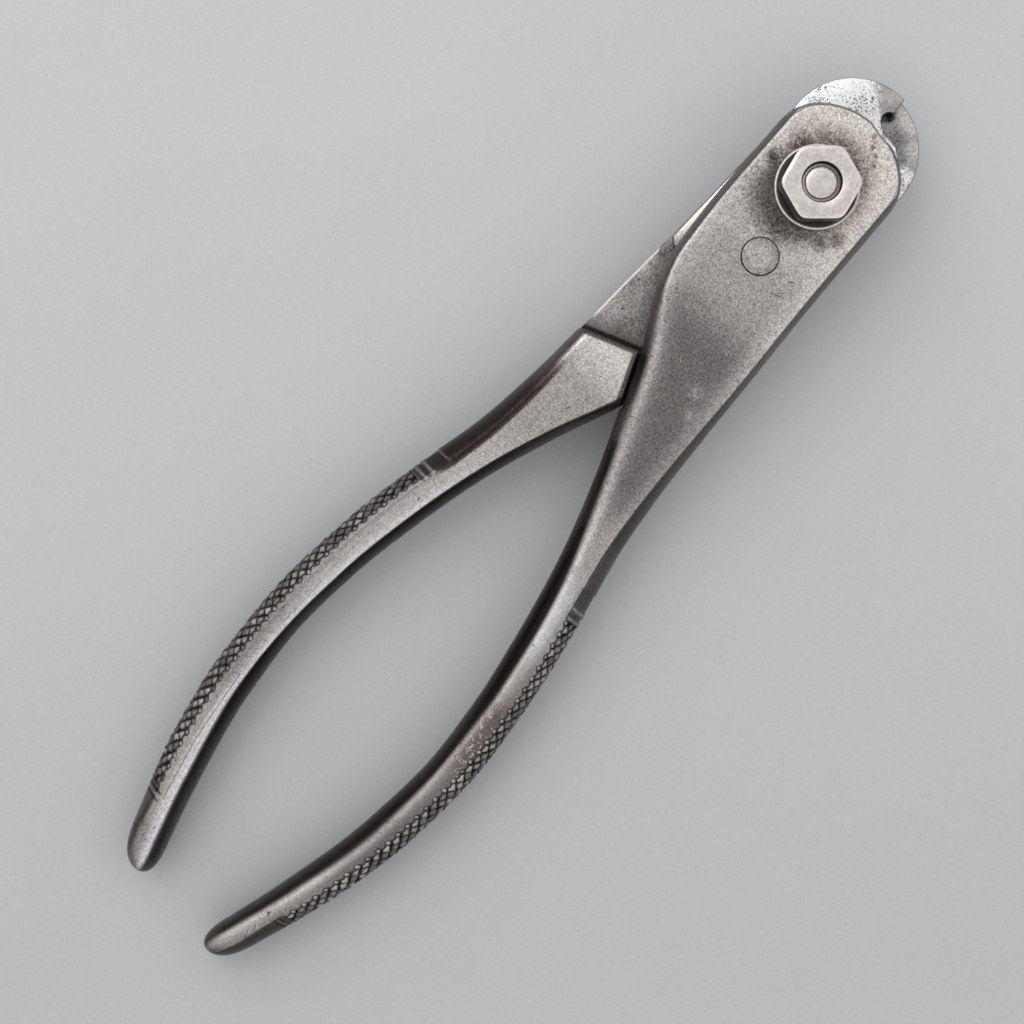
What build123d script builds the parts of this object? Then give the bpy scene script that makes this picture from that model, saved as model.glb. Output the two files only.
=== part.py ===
from build123d import *
import os
from math import atan2, cos, degrees, radians, sin, sqrt, tan

# Hand wire cutter: two forged lap-joint handles, two flat blades pinned to them, a pivot bolt and nut.
# Frame: +X to the right, +Y along the tool towards the blades, +Z up through the nut.
# Origin: on the pivot axis, at the underside of the bolt head.

# Heights of the stack at the pivot
bolt_head_height = 3.0
plate_thickness = 4.0
blade_thickness = 2.4
washer_thickness = 1.0
nut_height = 5.0
sliding_gap = 0.03
mid_height = bolt_head_height + plate_thickness + blade_thickness
seat_height = mid_height + blade_thickness
plate_top = seat_height + plate_thickness

# Pivot bolt, nut and washer, to the quarter inch fine series
bolt_diameter = 6.35
hex_across_flats = 11.3
hex_turn = 41.8
hex_chamfer_angle = 30
bolt_sunk_below_nut = 0.55
bolt_end_chamfer = 0.65
bolt_dome_height = 0.25
nut_countersink_diameter = 6.9
washer_diameter = 13.6
washer_edge_rounding = 0.25
pivot_clearance = 0.05
washer_clearance = 0.1

# Dowel that holds each blade to its handle
dowel_diameter = 6.0
dowel_place = (0.6, -13.9)
dowel_edge_chamfer = 0.15

# Blade plan
blade_end_radius = 11.35
blade_end_centre = (0.1, 9.2)
cutting_edge_x = 1.35
cutting_edge_lean = 0.15
notch_radius = 1.25
notch_centre = (1.5, 16.5)
notch_foot_angle = 40
lip_points = [(1.3, 14.95), (2.2, 14.6), (5.2, 14.0), (6.3, 13.2)]
blade_shoulder_point = (9.5, 9.0)
blade_right_top = (11.35, 3.0)
blade_right_tail = (12.05, -19.8)
blade_left_tail = (-10.6, -19.8)
blade_tail_y = -20.75
blade_tail_corner = 1.1

# Head plan: straight sides, two corner arcs and a flatter arc at the end
head_half_width = 11.65
head_start_y = 5.14
corner_radius = 8.2
end_radius = 14.0

# Handle plan, as (y, x): the outer edge and the edge that faces the other handle
outer_edge = [
    (head_start_y, head_half_width), (-13.0, 12.2), (-30.0, 13.1), (-47.0, 13.95), (-61.5, 15.45),
    (-76.0, 18.5), (-91.0, 21.25), (-108.0, 22.75), (-121.0, 21.95), (-136.0, 19.1), (-151.0, 14.3),
]
inner_edge = [
    (head_start_y, -head_half_width), (-8.0, -11.5), (-21.0, -10.7), (-26.0, -9.4), (-38.3, -3.1),
    (-46.0, 0.0), (-56.7, 4.3), (-71.4, 9.1), (-86.0, 12.4), (-98.0, 14.4), (-110.0, 15.3), (-124.0, 14.2),
    (-141.0, 10.7), (-151.0, 7.95),
]

# Handle side view, as (y, height from the mid plane): plate side and recess side
plate_side = [
    (head_start_y, plate_top - mid_height), (-40.0, plate_top - mid_height), (-56.0, 5.7), (-72.0, 4.8),
    (-140.0, 4.6), (-151.0, 4.2),
]
recess_side = [(head_start_y, 5.6), (-42.0, 5.6), (-56.0, 5.3), (-72.0, 4.7), (-140.0, 4.6), (-151.0, 4.2)]

# How far the flat top and bottom stand in from the widest line of the bowed side, as (y, inset)
side_inset = [
    (head_start_y, 1.4), (-46.0, 1.45), (-61.5, 2.1), (-80.0, 2.6), (-140.0, 2.4), (-151.0, 2.3),
]

# Sections along the handle, and the rounded end of the grip
station_count = 38
grip_end_y = -151.0
tip_length = 6.3
tip_steps = 5
tip_turn = 84
tip_fullness = 2.5
tip_lean = 0.33

# The rear handle is a little shorter, closes a little further in and is fuller near its tip
rear_shortfall = 2.1
shortfall_start_y = -50.0
shortfall_run = 40.0
rear_sway = 0.0035
sway_start_y = -30.0
rear_swell = 0.55
swell_start_y = -108.0
swell_run = 32.0

# Recess that makes room for the other handle, and the stop wall
shoulder_corner = (3.45, -37.2)
shoulder_slope = -0.334
stop_wall_points = [(1.5, -43.1), (0.3, -46.0)]
recess_reach = 30.0
recess_end_y = -60.0

# Shallow hollow in the head's end where the wire lies
relief_radius = 4.5
relief_x = 1.9
relief_depth = 0.5

# Band and ring grooves across the outer side of the grip, as (y, width)
grip_grooves = [(-73.6, 2.6), (-76.3, 0.5), (-144.6, 0.4), (-145.5, 0.4)]
groove_depth = 0.25


def slope_at(points, i):
    """Slope at one point: flat at a peak or a level stretch, so that the curve never overshoots."""
    last = len(points) - 1
    steps = []
    for j in (i - 1, i):
        if 0 <= j < last:
            steps.append((points[j + 1][1] - points[j][1]) / (points[j + 1][0] - points[j][0]))
    if len(steps) == 1:
        return steps[0]
    if steps[0] * steps[1] <= 0:
        return 0
    return 2 * steps[0] * steps[1] / (steps[0] + steps[1])


def along(points, y):
    """Smooth curve through (y, value) points that run downwards in y."""
    if y >= points[0][0]:
        return points[0][1]
    if y <= points[-1][0]:
        return points[-1][1]
    i = 0
    while y < points[i + 1][0]:
        i += 1
    y0, v0 = points[i]
    y1, v1 = points[i + 1]
    span = y1 - y0
    t = (y - y0) / span
    rise = (3 - 2 * t) * t * t
    pull0 = t * (1 - t) ** 2 * span * slope_at(points, i)
    pull1 = -t * t * (1 - t) * span * slope_at(points, i + 1)
    return v0 + (v1 - v0) * rise + pull0 + pull1


def section(y, left, right, above, below, inset):
    """Forged section: flat above and below, with a bowed side at each hand."""
    a = (left + inset, above)
    b = (right - inset, above)
    c = (right - inset, -below)
    d = (left + inset, -below)
    plane = Plane(origin=(0, y, mid_height), x_dir=(1, 0, 0), z_dir=(0, -1, 0))
    edges = [
        Line(a, b),
        ThreePointArc(b, (right, 0), c),
        Line(c, d),
        ThreePointArc(d, (left, 0), a),
    ]
    return plane * Face(Wire(edges))


def outer_side(y, sway, swell):
    """Outer edge of one handle, with its own small departures from the common outline."""
    ease = min(max((swell_start_y - y) / swell_run, 0), 1)
    return along(outer_edge, y) + sway * min(0, y - sway_start_y) + swell * ease * ease * (3 - 2 * ease)


def handle_sections(shortfall, sway, swell):
    """Sections from the head down to the last full one, then the rounded tip."""
    sections = []
    for i in range(station_count + 1):
        y = head_start_y + (grip_end_y - head_start_y) * i / station_count
        ease = min(max((shortfall_start_y - y) / shortfall_run, 0), 1)
        left = along(inner_edge, y) + sway * min(0, y - sway_start_y)
        right = outer_side(y, sway, swell)
        above = along(plate_side, y)
        below = along(recess_side, y)
        inset = along(side_inset, y)
        sections.append(section(y + shortfall * ease, left, right, above, below, inset))
    for step in range(1, tip_steps + 1):
        t = sin(radians(tip_turn) * step / tip_steps)
        scale = (1 - t ** tip_fullness) ** (1 / tip_fullness)
        y = grip_end_y - tip_length * t + shortfall
        middle = (left + right) / 2 - tip_lean * tip_length * t
        half = (right - left) / 2 * scale
        sections.append(section(y, middle - half, middle + half, above * scale, below * scale, inset * scale))
    return sections


def turned_end(x, y, radius, start, angle):
    """Wedge of the head's end, turned about an upright line, with the bowed side of the forging."""
    inset = along(side_inset, head_start_y)
    above = along(plate_side, head_start_y)
    below = along(recess_side, head_start_y)
    edges = [
        Line((0, above), (radius - inset, above)),
        ThreePointArc((radius - inset, above), (radius, 0), (radius - inset, -below)),
        Line((radius - inset, -below), (0, -below)),
        Line((0, -below), (0, above)),
    ]
    plane = Plane(origin=(0, 0, mid_height), x_dir=(1, 0, 0), z_dir=(0, -1, 0))
    wedge = revolve(plane * Face(Wire(edges)), Axis.Z, angle)
    return Pos(x, y) * Rot(0, 0, start) * wedge


def head_end():
    """End of the head: a corner arc at each hand and a flatter arc between them."""
    corner_x = head_half_width - corner_radius
    corner_rise = sqrt((end_radius - corner_radius) ** 2 - corner_x ** 2)
    corner_angle = degrees(atan2(corner_rise, corner_x))
    right = turned_end(corner_x, head_start_y, corner_radius, 0, corner_angle)
    end = turned_end(0, head_start_y - corner_rise, end_radius, corner_angle, 180 - 2 * corner_angle)
    left = turned_end(-corner_x, head_start_y, corner_radius, 180 - corner_angle, corner_angle)
    return right + end + left


def upright_cylinder(x, y, low, high, radius):
    return Pos(x, y, (low + high) / 2) * Cylinder(radius, high - low)


def recess():
    """Room for the other handle and both blades, below this handle's plate."""
    right_y = shoulder_corner[1] + shoulder_slope * (recess_reach - shoulder_corner[0])
    outline = [
        (-recess_reach, recess_reach), (recess_reach, recess_reach), (recess_reach, right_y),
        shoulder_corner, *stop_wall_points, (stop_wall_points[-1][0], recess_end_y),
        (-recess_reach, recess_end_y),
    ]
    face = make_face(Polyline(*outline, close=True))
    return extrude(face, seat_height)


def ring_grooves(shortfall, sway, swell):
    """Band and ring grooves that end the pattern on the outer side of the grip."""
    cutters = []
    for y, width in grip_grooves:
        edge = outer_side(y, sway, swell)
        lean = degrees(atan2(edge - outer_side(y - 1, sway, swell), 1))
        reach = (edge - along(inner_edge, y)) / 2
        x = edge - groove_depth + reach / 2
        cutter = Box(reach, width, 2 * plate_top)
        cutters.append(Pos(x, y + shortfall, mid_height) * Rot(0, 0, lean) * cutter)
    return cutters


def handle(shortfall, sway, swell):
    """One handle, drawn as the front one: plate above, recess below."""
    body = loft(handle_sections(shortfall, sway, swell))
    body += head_end()
    body -= recess()
    body -= upright_cylinder(0, 0, 0, 2 * plate_top, bolt_diameter / 2 + pivot_clearance)
    body -= upright_cylinder(*dowel_place, 0, 2 * plate_top, dowel_diameter / 2)
    corner_rise = sqrt((end_radius - corner_radius) ** 2 - (head_half_width - corner_radius) ** 2)
    end_y = head_start_y - corner_rise + sqrt(end_radius ** 2 - relief_x ** 2)
    relief_y = end_y - relief_depth + relief_radius
    body -= upright_cylinder(relief_x, relief_y, 0, 2 * plate_top, relief_radius)
    for cutter in ring_grooves(shortfall, sway, swell):
        body -= cutter
    return body


def blade():
    """One blade, drawn as the front one: its cutting edge faces +X, with a notch for small wire."""
    cx, cy = blade_end_centre
    nx, ny = notch_centre
    edge_top_x = cutting_edge_x - cutting_edge_lean
    edge_top = (edge_top_x, cy + sqrt(blade_end_radius ** 2 - (edge_top_x - cx) ** 2))
    edge_rise = sqrt(notch_radius ** 2 - (cutting_edge_x - nx) ** 2)
    edge_foot = (cutting_edge_x, ny + edge_rise)
    foot_angle = radians(notch_foot_angle)
    notch_foot = (nx - notch_radius * sin(foot_angle), ny - notch_radius * cos(foot_angle))
    left_side = (cx - blade_end_radius, cy)
    diagonal = blade_end_radius * sin(radians(45))
    tail_left = (blade_left_tail[0] + blade_tail_corner, blade_tail_y)
    tail_right = (blade_right_tail[0] - blade_tail_corner, blade_tail_y)
    edges = [
        ThreePointArc(left_side, (cx - diagonal, cy + diagonal), edge_top),
        Line(edge_top, edge_foot),
        ThreePointArc(edge_foot, (nx - notch_radius, ny), notch_foot),
        Polyline(notch_foot, *lip_points),
        ThreePointArc(lip_points[-1], blade_shoulder_point, blade_right_top),
        Polyline(blade_right_top, blade_right_tail, tail_right, tail_left, blade_left_tail, left_side),
    ]
    face = make_face(edges)
    low = mid_height + sliding_gap / 2
    body = extrude(Pos(0, 0, low) * face, seat_height - low)
    body -= upright_cylinder(0, 0, 0, 2 * plate_top, bolt_diameter / 2 + pivot_clearance)
    body -= upright_cylinder(*dowel_place, 0, 2 * plate_top, dowel_diameter / 2)
    return body


def dowel():
    """Flush pin through plate and blade."""
    low = mid_height + sliding_gap / 2
    pin = upright_cylinder(*dowel_place, low, plate_top, dowel_diameter / 2)
    return chamfer(pin.edges().group_by(Axis.Z)[-1], dowel_edge_chamfer)


def turned_over(shape):
    """The rear half is the front half turned over about the tool's long axis."""
    return Pos(0, 0, mid_height) * Rot(0, 180, 0) * Pos(0, 0, -mid_height) * shape


def hexagon(low, high, chamfer_low, chamfer_high):
    """Hexagon with its corners turned off where asked."""
    face = RegularPolygon(hex_across_flats / 2, 6, major_radius=False)
    prism = extrude(Pos(0, 0, low) * Rot(0, 0, hex_turn) * face, high - low)
    point_radius = hex_across_flats / 2 / cos(radians(30))
    flat_radius = hex_across_flats / 2 - 0.15
    drop = (point_radius - flat_radius) * tan(radians(hex_chamfer_angle))
    points = [
        (0, low),
        (flat_radius if chamfer_low else point_radius, low),
        (point_radius, low + drop if chamfer_low else (low + high) / 2),
        (point_radius, high - drop if chamfer_high else high),
    ]
    if chamfer_high:
        points.append((flat_radius, high))
    points.append((0, high))
    profile = Plane.XZ * make_face(Polyline(*points, close=True))
    return prism & revolve(profile, Axis.Z)


def pivot_bolt():
    """Low hexagon head below, plain shank, slightly domed end just below the nut's face."""
    radius = bolt_diameter / 2
    end = plate_top + sliding_gap + washer_thickness + nut_height - bolt_sunk_below_nut
    shank = upright_cylinder(0, 0, bolt_head_height / 2, end, radius)
    shank = chamfer(shank.edges().group_by(Axis.Z)[-1], bolt_end_chamfer)
    dome_reach = radius - bolt_end_chamfer
    dome_radius = (dome_reach ** 2 + bolt_dome_height ** 2) / (2 * bolt_dome_height)
    shank &= Pos(0, 0, end - dome_radius) * Sphere(dome_radius)
    return hexagon(0, bolt_head_height, True, False) + shank


def nut_washer():
    low = plate_top + sliding_gap
    ring = upright_cylinder(0, 0, low, low + washer_thickness, washer_diameter / 2)
    ring = fillet(ring.edges().group_by(Axis.Z)[-1], washer_edge_rounding)
    return ring - upright_cylinder(0, 0, 0, 2 * plate_top, bolt_diameter / 2 + washer_clearance)


def pivot_nut():
    low = plate_top + sliding_gap + washer_thickness
    high = low + nut_height
    nut = hexagon(low, high, True, True)
    nut -= upright_cylinder(0, 0, 0, 2 * high, bolt_diameter / 2)
    rim = nut_countersink_diameter / 2
    sink = Pos(0, 0, high - rim / 2) * Cone(0, rim, rim)
    return nut - sink


def write(name, shape):
    export_step(shape, "parts/" + name + ".step")


os.makedirs("parts", exist_ok=True)
write("front_handle", handle(0, 0, 0))
write("rear_handle", turned_over(handle(rear_shortfall, rear_sway, rear_swell)))
write("front_blade", blade())
write("rear_blade", turned_over(blade()))
write("front_dowel", dowel())
write("rear_dowel", turned_over(dowel()))
write("pivot_bolt", pivot_bolt())
write("nut_washer", nut_washer())
write("pivot_nut", pivot_nut())
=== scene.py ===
from math import atan2, cos, degrees, hypot, pi, radians, sin, sqrt, tan
from types import SimpleNamespace

import bmesh
import bpy
import numpy as np
from mathutils import Matrix, Vector


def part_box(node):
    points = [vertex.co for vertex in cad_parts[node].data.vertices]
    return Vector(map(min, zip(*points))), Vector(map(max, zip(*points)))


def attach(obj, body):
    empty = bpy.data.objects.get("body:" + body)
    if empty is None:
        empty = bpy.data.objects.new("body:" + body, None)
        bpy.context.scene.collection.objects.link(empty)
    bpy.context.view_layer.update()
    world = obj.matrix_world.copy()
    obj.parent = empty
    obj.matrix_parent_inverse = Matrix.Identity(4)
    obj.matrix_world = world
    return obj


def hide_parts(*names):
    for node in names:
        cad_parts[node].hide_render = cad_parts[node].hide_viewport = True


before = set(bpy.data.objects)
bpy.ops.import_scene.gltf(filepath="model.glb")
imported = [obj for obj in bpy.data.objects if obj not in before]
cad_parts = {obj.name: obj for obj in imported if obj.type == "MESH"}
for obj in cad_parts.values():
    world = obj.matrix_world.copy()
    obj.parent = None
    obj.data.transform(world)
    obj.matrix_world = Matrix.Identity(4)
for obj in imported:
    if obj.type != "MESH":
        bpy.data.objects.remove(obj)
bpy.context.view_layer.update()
mm = 0.001  # the lists below are in millimetres, Blender works in metres

# heights of the stack at the pivot, read from the solids
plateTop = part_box("front_dowel")[1].z / mm
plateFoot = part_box("rear_dowel")[0].z / mm
midHeight = (plateTop + plateFoot) / 2
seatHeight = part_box("front_blade")[1].z / mm
print(f"pivot stack: dowels from {plateFoot:.2f} to {plateTop:.2f} mm, blades meet at {midHeight:.2f} mm")


# Camera, straight over the table, with the tool lying a little nose down under it

cameraView = {
    "place": (-1.71, -60.76, 302.18),
    "tilt": -1.9,
    "turn": 41.8,
    "lens": 63.28,
    "sensor": 36,
    "clip": (0.01, 10),
}


def makeCamera():
    data = bpy.data.cameras.new("photoCamera")
    data.lens = cameraView["lens"]
    data.sensor_width = cameraView["sensor"]
    data.clip_start, data.clip_end = cameraView["clip"]
    camera = placed("photoCamera", data)
    tilt = Matrix.Rotation(radians(cameraView["tilt"]), 4, "X")
    turn = Matrix.Rotation(radians(cameraView["turn"]), 4, "Z")
    camera.matrix_world = Matrix.Translation(Vector(cameraView["place"]) * mm) @ tilt @ turn
    bpy.context.scene.camera = camera
    bpy.context.scene.view_settings.view_transform = "Standard"


# Small helpers for meshes

def placed(name, data):
    thing = bpy.data.objects.new(name, data)
    bpy.context.scene.collection.objects.link(thing)
    return thing


def meshOf(name, points, faces, smooth=True):
    mesh = bpy.data.meshes.new(name)
    mesh.from_pydata([tuple(p) for p in points], [], faces)
    mesh.polygons.foreach_set("use_smooth", [smooth] * len(mesh.polygons))
    mesh.update()
    return mesh


def cleaned(mesh, gap=1e-4):
    # points closer than the gap merged, empty faces gone, normals outwards
    work = bmesh.new()
    work.from_mesh(mesh)
    bmesh.ops.remove_doubles(work, verts=work.verts, dist=gap)
    bmesh.ops.dissolve_degenerate(work, edges=work.edges, dist=gap)
    bmesh.ops.recalc_face_normals(work, faces=work.faces)
    work.to_mesh(mesh)
    work.free()
    return mesh


def evaluatedMesh(thing, name):
    graph = bpy.context.evaluated_depsgraph_get()
    mesh = bpy.data.meshes.new_from_object(thing.evaluated_get(graph))
    mesh.name = name
    return mesh


def discard(*things):
    for thing in things:
        bpy.data.objects.remove(thing)


def ringFaces(rings, count):
    # quads between rings of points
    faces = []
    for i in range(rings - 1):
        for j in range(count):
            k = (j + 1) % count
            faces.append((i * count + j, (i + 1) * count + j, (i + 1) * count + k, i * count + k))
    return faces


def stackedRings(name, rings):
    # closed body through rings of points with the same count, flat at both ends
    count = len(rings[0])
    points = [p for ring in rings for p in ring]
    faces = ringFaces(len(rings), count)
    faces.append(tuple(range(count)))
    faces.append(tuple(reversed(range(len(points) - count, len(points)))))
    return cleaned(meshOf(name, points, faces))


def finished(name, mesh, body, material, nodeName):
    # the mesh, still in millimetres, becomes a piece that stands for one solid
    mesh.transform(Matrix.Scale(mm, 4))
    mesh.materials.clear()
    mesh.materials.append(material)
    piece = placed(name, mesh)
    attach(piece, body)
    if nodeName:
        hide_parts(nodeName)
    return piece


def setAttribute(mesh, name, values, domain="POINT"):
    attribute = mesh.attributes.new(name, "FLOAT", domain)
    attribute.data.foreach_set("value", np.asarray(values, np.float32))


def smoothStep(low, high, x):
    t = np.clip((np.asarray(x, float) - low) / (high - low), 0, 1)
    return t * t * (3 - 2 * t)


def curveThrough(points):
    # smooth curve through (y, value) points that run downwards in y, never past a peak
    ys = np.array([p[0] for p in points])
    vs = np.array([p[1] for p in points])
    steps = np.diff(vs) / np.diff(ys)
    slopes = np.zeros(len(ys))
    slopes[0], slopes[-1] = steps[0], steps[-1]
    for i in range(1, len(ys) - 1):
        if steps[i - 1] * steps[i] > 0:
            slopes[i] = 2 * steps[i - 1] * steps[i] / (steps[i - 1] + steps[i])

    def at(y):
        y = np.clip(np.asarray(y, float), ys[-1], ys[0])
        i = np.clip(np.searchsorted(-ys, -y, side="right") - 1, 0, len(ys) - 2)
        span = ys[i + 1] - ys[i]
        t = (y - ys[i]) / span
        rise = (3 - 2 * t) * t * t
        pull = t * (1 - t) ** 2 * span * slopes[i] - t * t * (1 - t) * span * slopes[i + 1]
        return vs[i] + (vs[i + 1] - vs[i]) * rise + pull

    return at


# Floor and light

floorLook = {
    "level": (0, -6.5, 0),
    "size": 3000,
    "colour": (0.505, 0.512, 0.525),
    "mottle": 0.012,
    "mottleSize": 18,
    "dust": 0.05,
    "dustSize": 0.3,
    # the floor's colour darkens towards the bottom of the picture: painted shade of the light falling off
    "farLight": 1.0,
    "nearShade": 0.89,
    "shadeFadeTo": (-0.667, 0.745, 0),
    "shadeFadeFrom": (-125, 20),
    "roughness": 0.75,
    "specular": 0.2,
}
lightLook = {
    "overhead": 0.72,
    "ring": 1.15,
    "horizon": 0.55,
    "climb": (0.05, 0.55),  # parts of the sky's dome, 0 at the horizon and 1 overhead
    "crown": (0.72, 0.98),
    "lampPlace": (-420, 60, 560),
    "lampAim": (0, -60, 0),
    "lampSize": 500,
    "lampPower": 0.95,
}


def makeFloor():
    half = floorLook["size"] / 2
    corners = [(-half, -half, 0), (half, -half, 0), (half, half, 0), (-half, half, 0)]
    mesh = meshOf("table", corners, [(0, 1, 2, 3)], smooth=False)
    tilt = Matrix.Rotation(radians(cameraView["tilt"]), 4, "X")
    mesh.transform(Matrix.Scale(mm, 4) @ Matrix.Translation(floorLook["level"]) @ tilt)
    mesh.materials.append(tablePaint())
    placed("table", mesh)


def makeSky():
    # a soft box of light: brightest in a ring, darker overhead and at the horizon
    look = lightLook
    world = bpy.data.worlds.new("softSky")
    bpy.context.scene.world = world
    world.use_nodes = True
    tree = world.node_tree
    tree.nodes.clear()
    ray = addNode(tree, "ShaderNodeTexCoord").outputs["Generated"]
    up = addNode(tree, "ShaderNodeSeparateXYZ", {"Vector": ray}).outputs["Z"]
    climb = ranged(tree, up, *look["climb"], look["horizon"], look["ring"], "SMOOTHSTEP")
    crown = ranged(tree, up, *look["crown"], 0.0, look["ring"] - look["overhead"], "SMOOTHSTEP")
    glow = addNode(tree, "ShaderNodeBackground", {"Strength": minus(tree, climb, crown)})
    glow.inputs["Color"].default_value = (1, 1, 1, 1)
    addNode(tree, "ShaderNodeOutputWorld", {"Surface": glow.outputs["Background"]})


def makeLamp():
    look = lightLook
    lamp = bpy.data.lights.new("windowLamp", "AREA")
    lamp.shape = "SQUARE"
    lamp.size = look["lampSize"] * mm
    lamp.energy = look["lampPower"]
    holder = placed("windowLamp", lamp)
    holder.location = Vector(look["lampPlace"]) * mm
    aim = Vector(look["lampAim"]) * mm - holder.location
    holder.rotation_euler = aim.to_track_quat("-Z", "Y").to_euler()


# Small helpers for materials

def addNode(tree, kind, inputs=None, **settings):
    made = tree.nodes.new(kind)
    for name, value in settings.items():
        setattr(made, name, value)
    for name, value in (inputs or {}).items():
        if isinstance(value, bpy.types.NodeSocket):
            tree.links.new(value, made.inputs[name])
        else:
            made.inputs[name].default_value = value
    return made


def mathOf(tree, kind, a, b=0.0):
    return addNode(tree, "ShaderNodeMath", {0: a, 1: b}, operation=kind).outputs["Value"]


def plus(tree, a, b):
    return mathOf(tree, "ADD", a, b)


def minus(tree, a, b):
    return mathOf(tree, "SUBTRACT", a, b)


def times(tree, a, b):
    return mathOf(tree, "MULTIPLY", a, b)


def larger(tree, a, b):
    return mathOf(tree, "MAXIMUM", a, b)


def vectorOf(tree, kind, *values):
    made = addNode(tree, "ShaderNodeVectorMath", dict(enumerate(values)), operation=kind)
    return made.outputs["Value" if kind in ("DISTANCE", "DOT_PRODUCT") else "Vector"]


def ranged(tree, value, low, high, atLow=0.0, atHigh=1.0, curve="LINEAR"):
    limits = {"Value": value, "From Min": low, "From Max": high, "To Min": atLow, "To Max": atHigh}
    return addNode(tree, "ShaderNodeMapRange", limits, interpolation_type=curve).outputs["Result"]


def eased(tree, value, low, high):
    # 0 at low, 1 at high, smooth between
    return ranged(tree, value, low, high, curve="SMOOTHSTEP")


def tinted(tree, factor, a, b, kind="MIX"):
    made = addNode(tree, "ShaderNodeMix", {0: factor, 6: a, 7: b}, data_type="RGBA", blend_type=kind)
    return made.outputs[2]


def greyColour(tree, level):
    parts = {"Red": level, "Green": level, "Blue": level}
    return addNode(tree, "ShaderNodeCombineColor", parts).outputs["Color"]


def greyOf(tree, value, low, high):
    # noise turned into a grey that darkens and lightens the colour under it
    return greyColour(tree, ranged(tree, value, 0.30, 0.70, low, high))


def grain(tree, point, size, detail=3, rough=0.55, shift=0):
    # cloudy noise whose lumps are about size millimetres
    inputs = {"Vector": point, "W": shift, "Scale": 1 / (size * mm), "Detail": detail, "Roughness": rough}
    return addNode(tree, "ShaderNodeTexNoise", inputs, noise_dimensions="4D").outputs["Fac"]


def objectPoint(tree):
    return addNode(tree, "ShaderNodeTexCoord").outputs["Object"]


def attributeOf(tree, name):
    return addNode(tree, "ShaderNodeAttribute", attribute_name=name).outputs["Fac"]


def newMaterial(name):
    material = bpy.data.materials.new(name)
    material.use_nodes = True
    tree = material.node_tree
    tree.nodes.clear()
    shader = tree.nodes.new("ShaderNodeBsdfPrincipled")
    out = tree.nodes.new("ShaderNodeOutputMaterial")
    tree.links.new(shader.outputs["BSDF"], out.inputs["Surface"])
    return material, tree, shader


def spotMask(tree, point, place, reach, soft):
    # 1 inside a round spot in plan, with a soft rim; sizes in millimetres
    flat = vectorOf(tree, "MULTIPLY", point, (1, 1, 0))
    away = vectorOf(tree, "DISTANCE", flat, (place[0] * mm, place[1] * mm, 0))
    return eased(tree, away, (reach + soft) * mm, (reach - soft) * mm)


def strokeMask(tree, point, start, stop, width):
    # 1 along a short straight scratch in plan; sizes in millimetres
    begin = Vector((*start, 0)) * mm
    run = Vector((*stop, 0)) * mm - begin
    flat = vectorOf(tree, "MULTIPLY_ADD", point, (1, 1, 0), tuple(-begin))
    share = mathOf(tree, "DIVIDE", vectorOf(tree, "DOT_PRODUCT", flat, tuple(run)), run.length_squared)
    share.node.use_clamp = True
    nearest = addNode(tree, "ShaderNodeVectorMath", {0: tuple(run), "Scale": share}, operation="SCALE")
    away = vectorOf(tree, "DISTANCE", flat, nearest.outputs["Vector"])
    return eased(tree, away, width * mm, width * 0.3 * mm)


def shakenPoint(tree, point, size, reach):
    # the point moved about by noise, so that zones and stains get ragged borders; in millimetres
    cloud = addNode(tree, "ShaderNodeTexNoise", {"Vector": point, "Scale": 1 / (size * mm), "Detail": 4})
    middle = vectorOf(tree, "SUBTRACT", cloud.outputs["Color"], (0.5, 0.5, 0.5))
    return vectorOf(tree, "MULTIPLY_ADD", middle, (reach * mm * 2,) * 3, point)


def roughened(tree, mask, speck, amount):
    # a soft mask whose half-way places break up into specks
    swing = times(tree, times(tree, mask, minus(tree, 1.0, mask)), amount)
    broken = plus(tree, mask, times(tree, minus(tree, speck, 0.5), swing))
    broken.node.use_clamp = True
    return broken


def stainedAndShaded(tree, colour, point, spots, speck):
    # stains and painted shade laid over a colour; also how dirty or shaded each place is
    dirtAndShade = 0.0
    for place, reach, soft, strength, tone in spots:
        mask = times(tree, spotMask(tree, point, place, reach, soft), strength)
        mask = roughened(tree, mask, speck, stainBreak)
        colour = tinted(tree, mask, colour, steelTones[tone])
        dirtAndShade = larger(tree, mask, dirtAndShade)
    return colour, dirtAndShade


def bumpOf(tree, height, strength, distance):
    # normals pushed about by a height from 0 to 1; distance in millimetres
    inputs = {"Height": height, "Strength": strength, "Distance": distance * mm}
    return addNode(tree, "ShaderNodeBump", inputs).outputs["Normal"]


# Materials

def tablePaint():
    look = floorLook
    material, tree, shader = newMaterial("tablePaint")
    point = objectPoint(tree)
    cloud = grain(tree, point, look["mottleSize"], 4)
    dark = (*(c - look["mottle"] for c in look["colour"]), 1)
    light = (*(c + look["mottle"] for c in look["colour"]), 1)
    # painted shade: the floor darker towards the bottom of the picture
    up = vectorOf(tree, "DOT_PRODUCT", point, look["shadeFadeTo"])
    low, high = look["shadeFadeFrom"]
    tone = ranged(tree, up, low * mm, high * mm, look["nearShade"], look["farLight"])
    colour = tinted(tree, 1.0, tinted(tree, cloud, dark, light), greyColour(tree, tone), "MULTIPLY")
    speck = grain(tree, point, look["dustSize"], 2, 0.7, 2)
    dust = greyOf(tree, speck, 1 - look["dust"], 1 + look["dust"])
    colour = tinted(tree, 1.0, colour, dust, "MULTIPLY")
    tree.links.new(colour, shader.inputs["Base Color"])
    shader.inputs["Roughness"].default_value = look["roughness"]
    shader.inputs["Specular IOR Level"].default_value = look["specular"]
    return material


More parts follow.
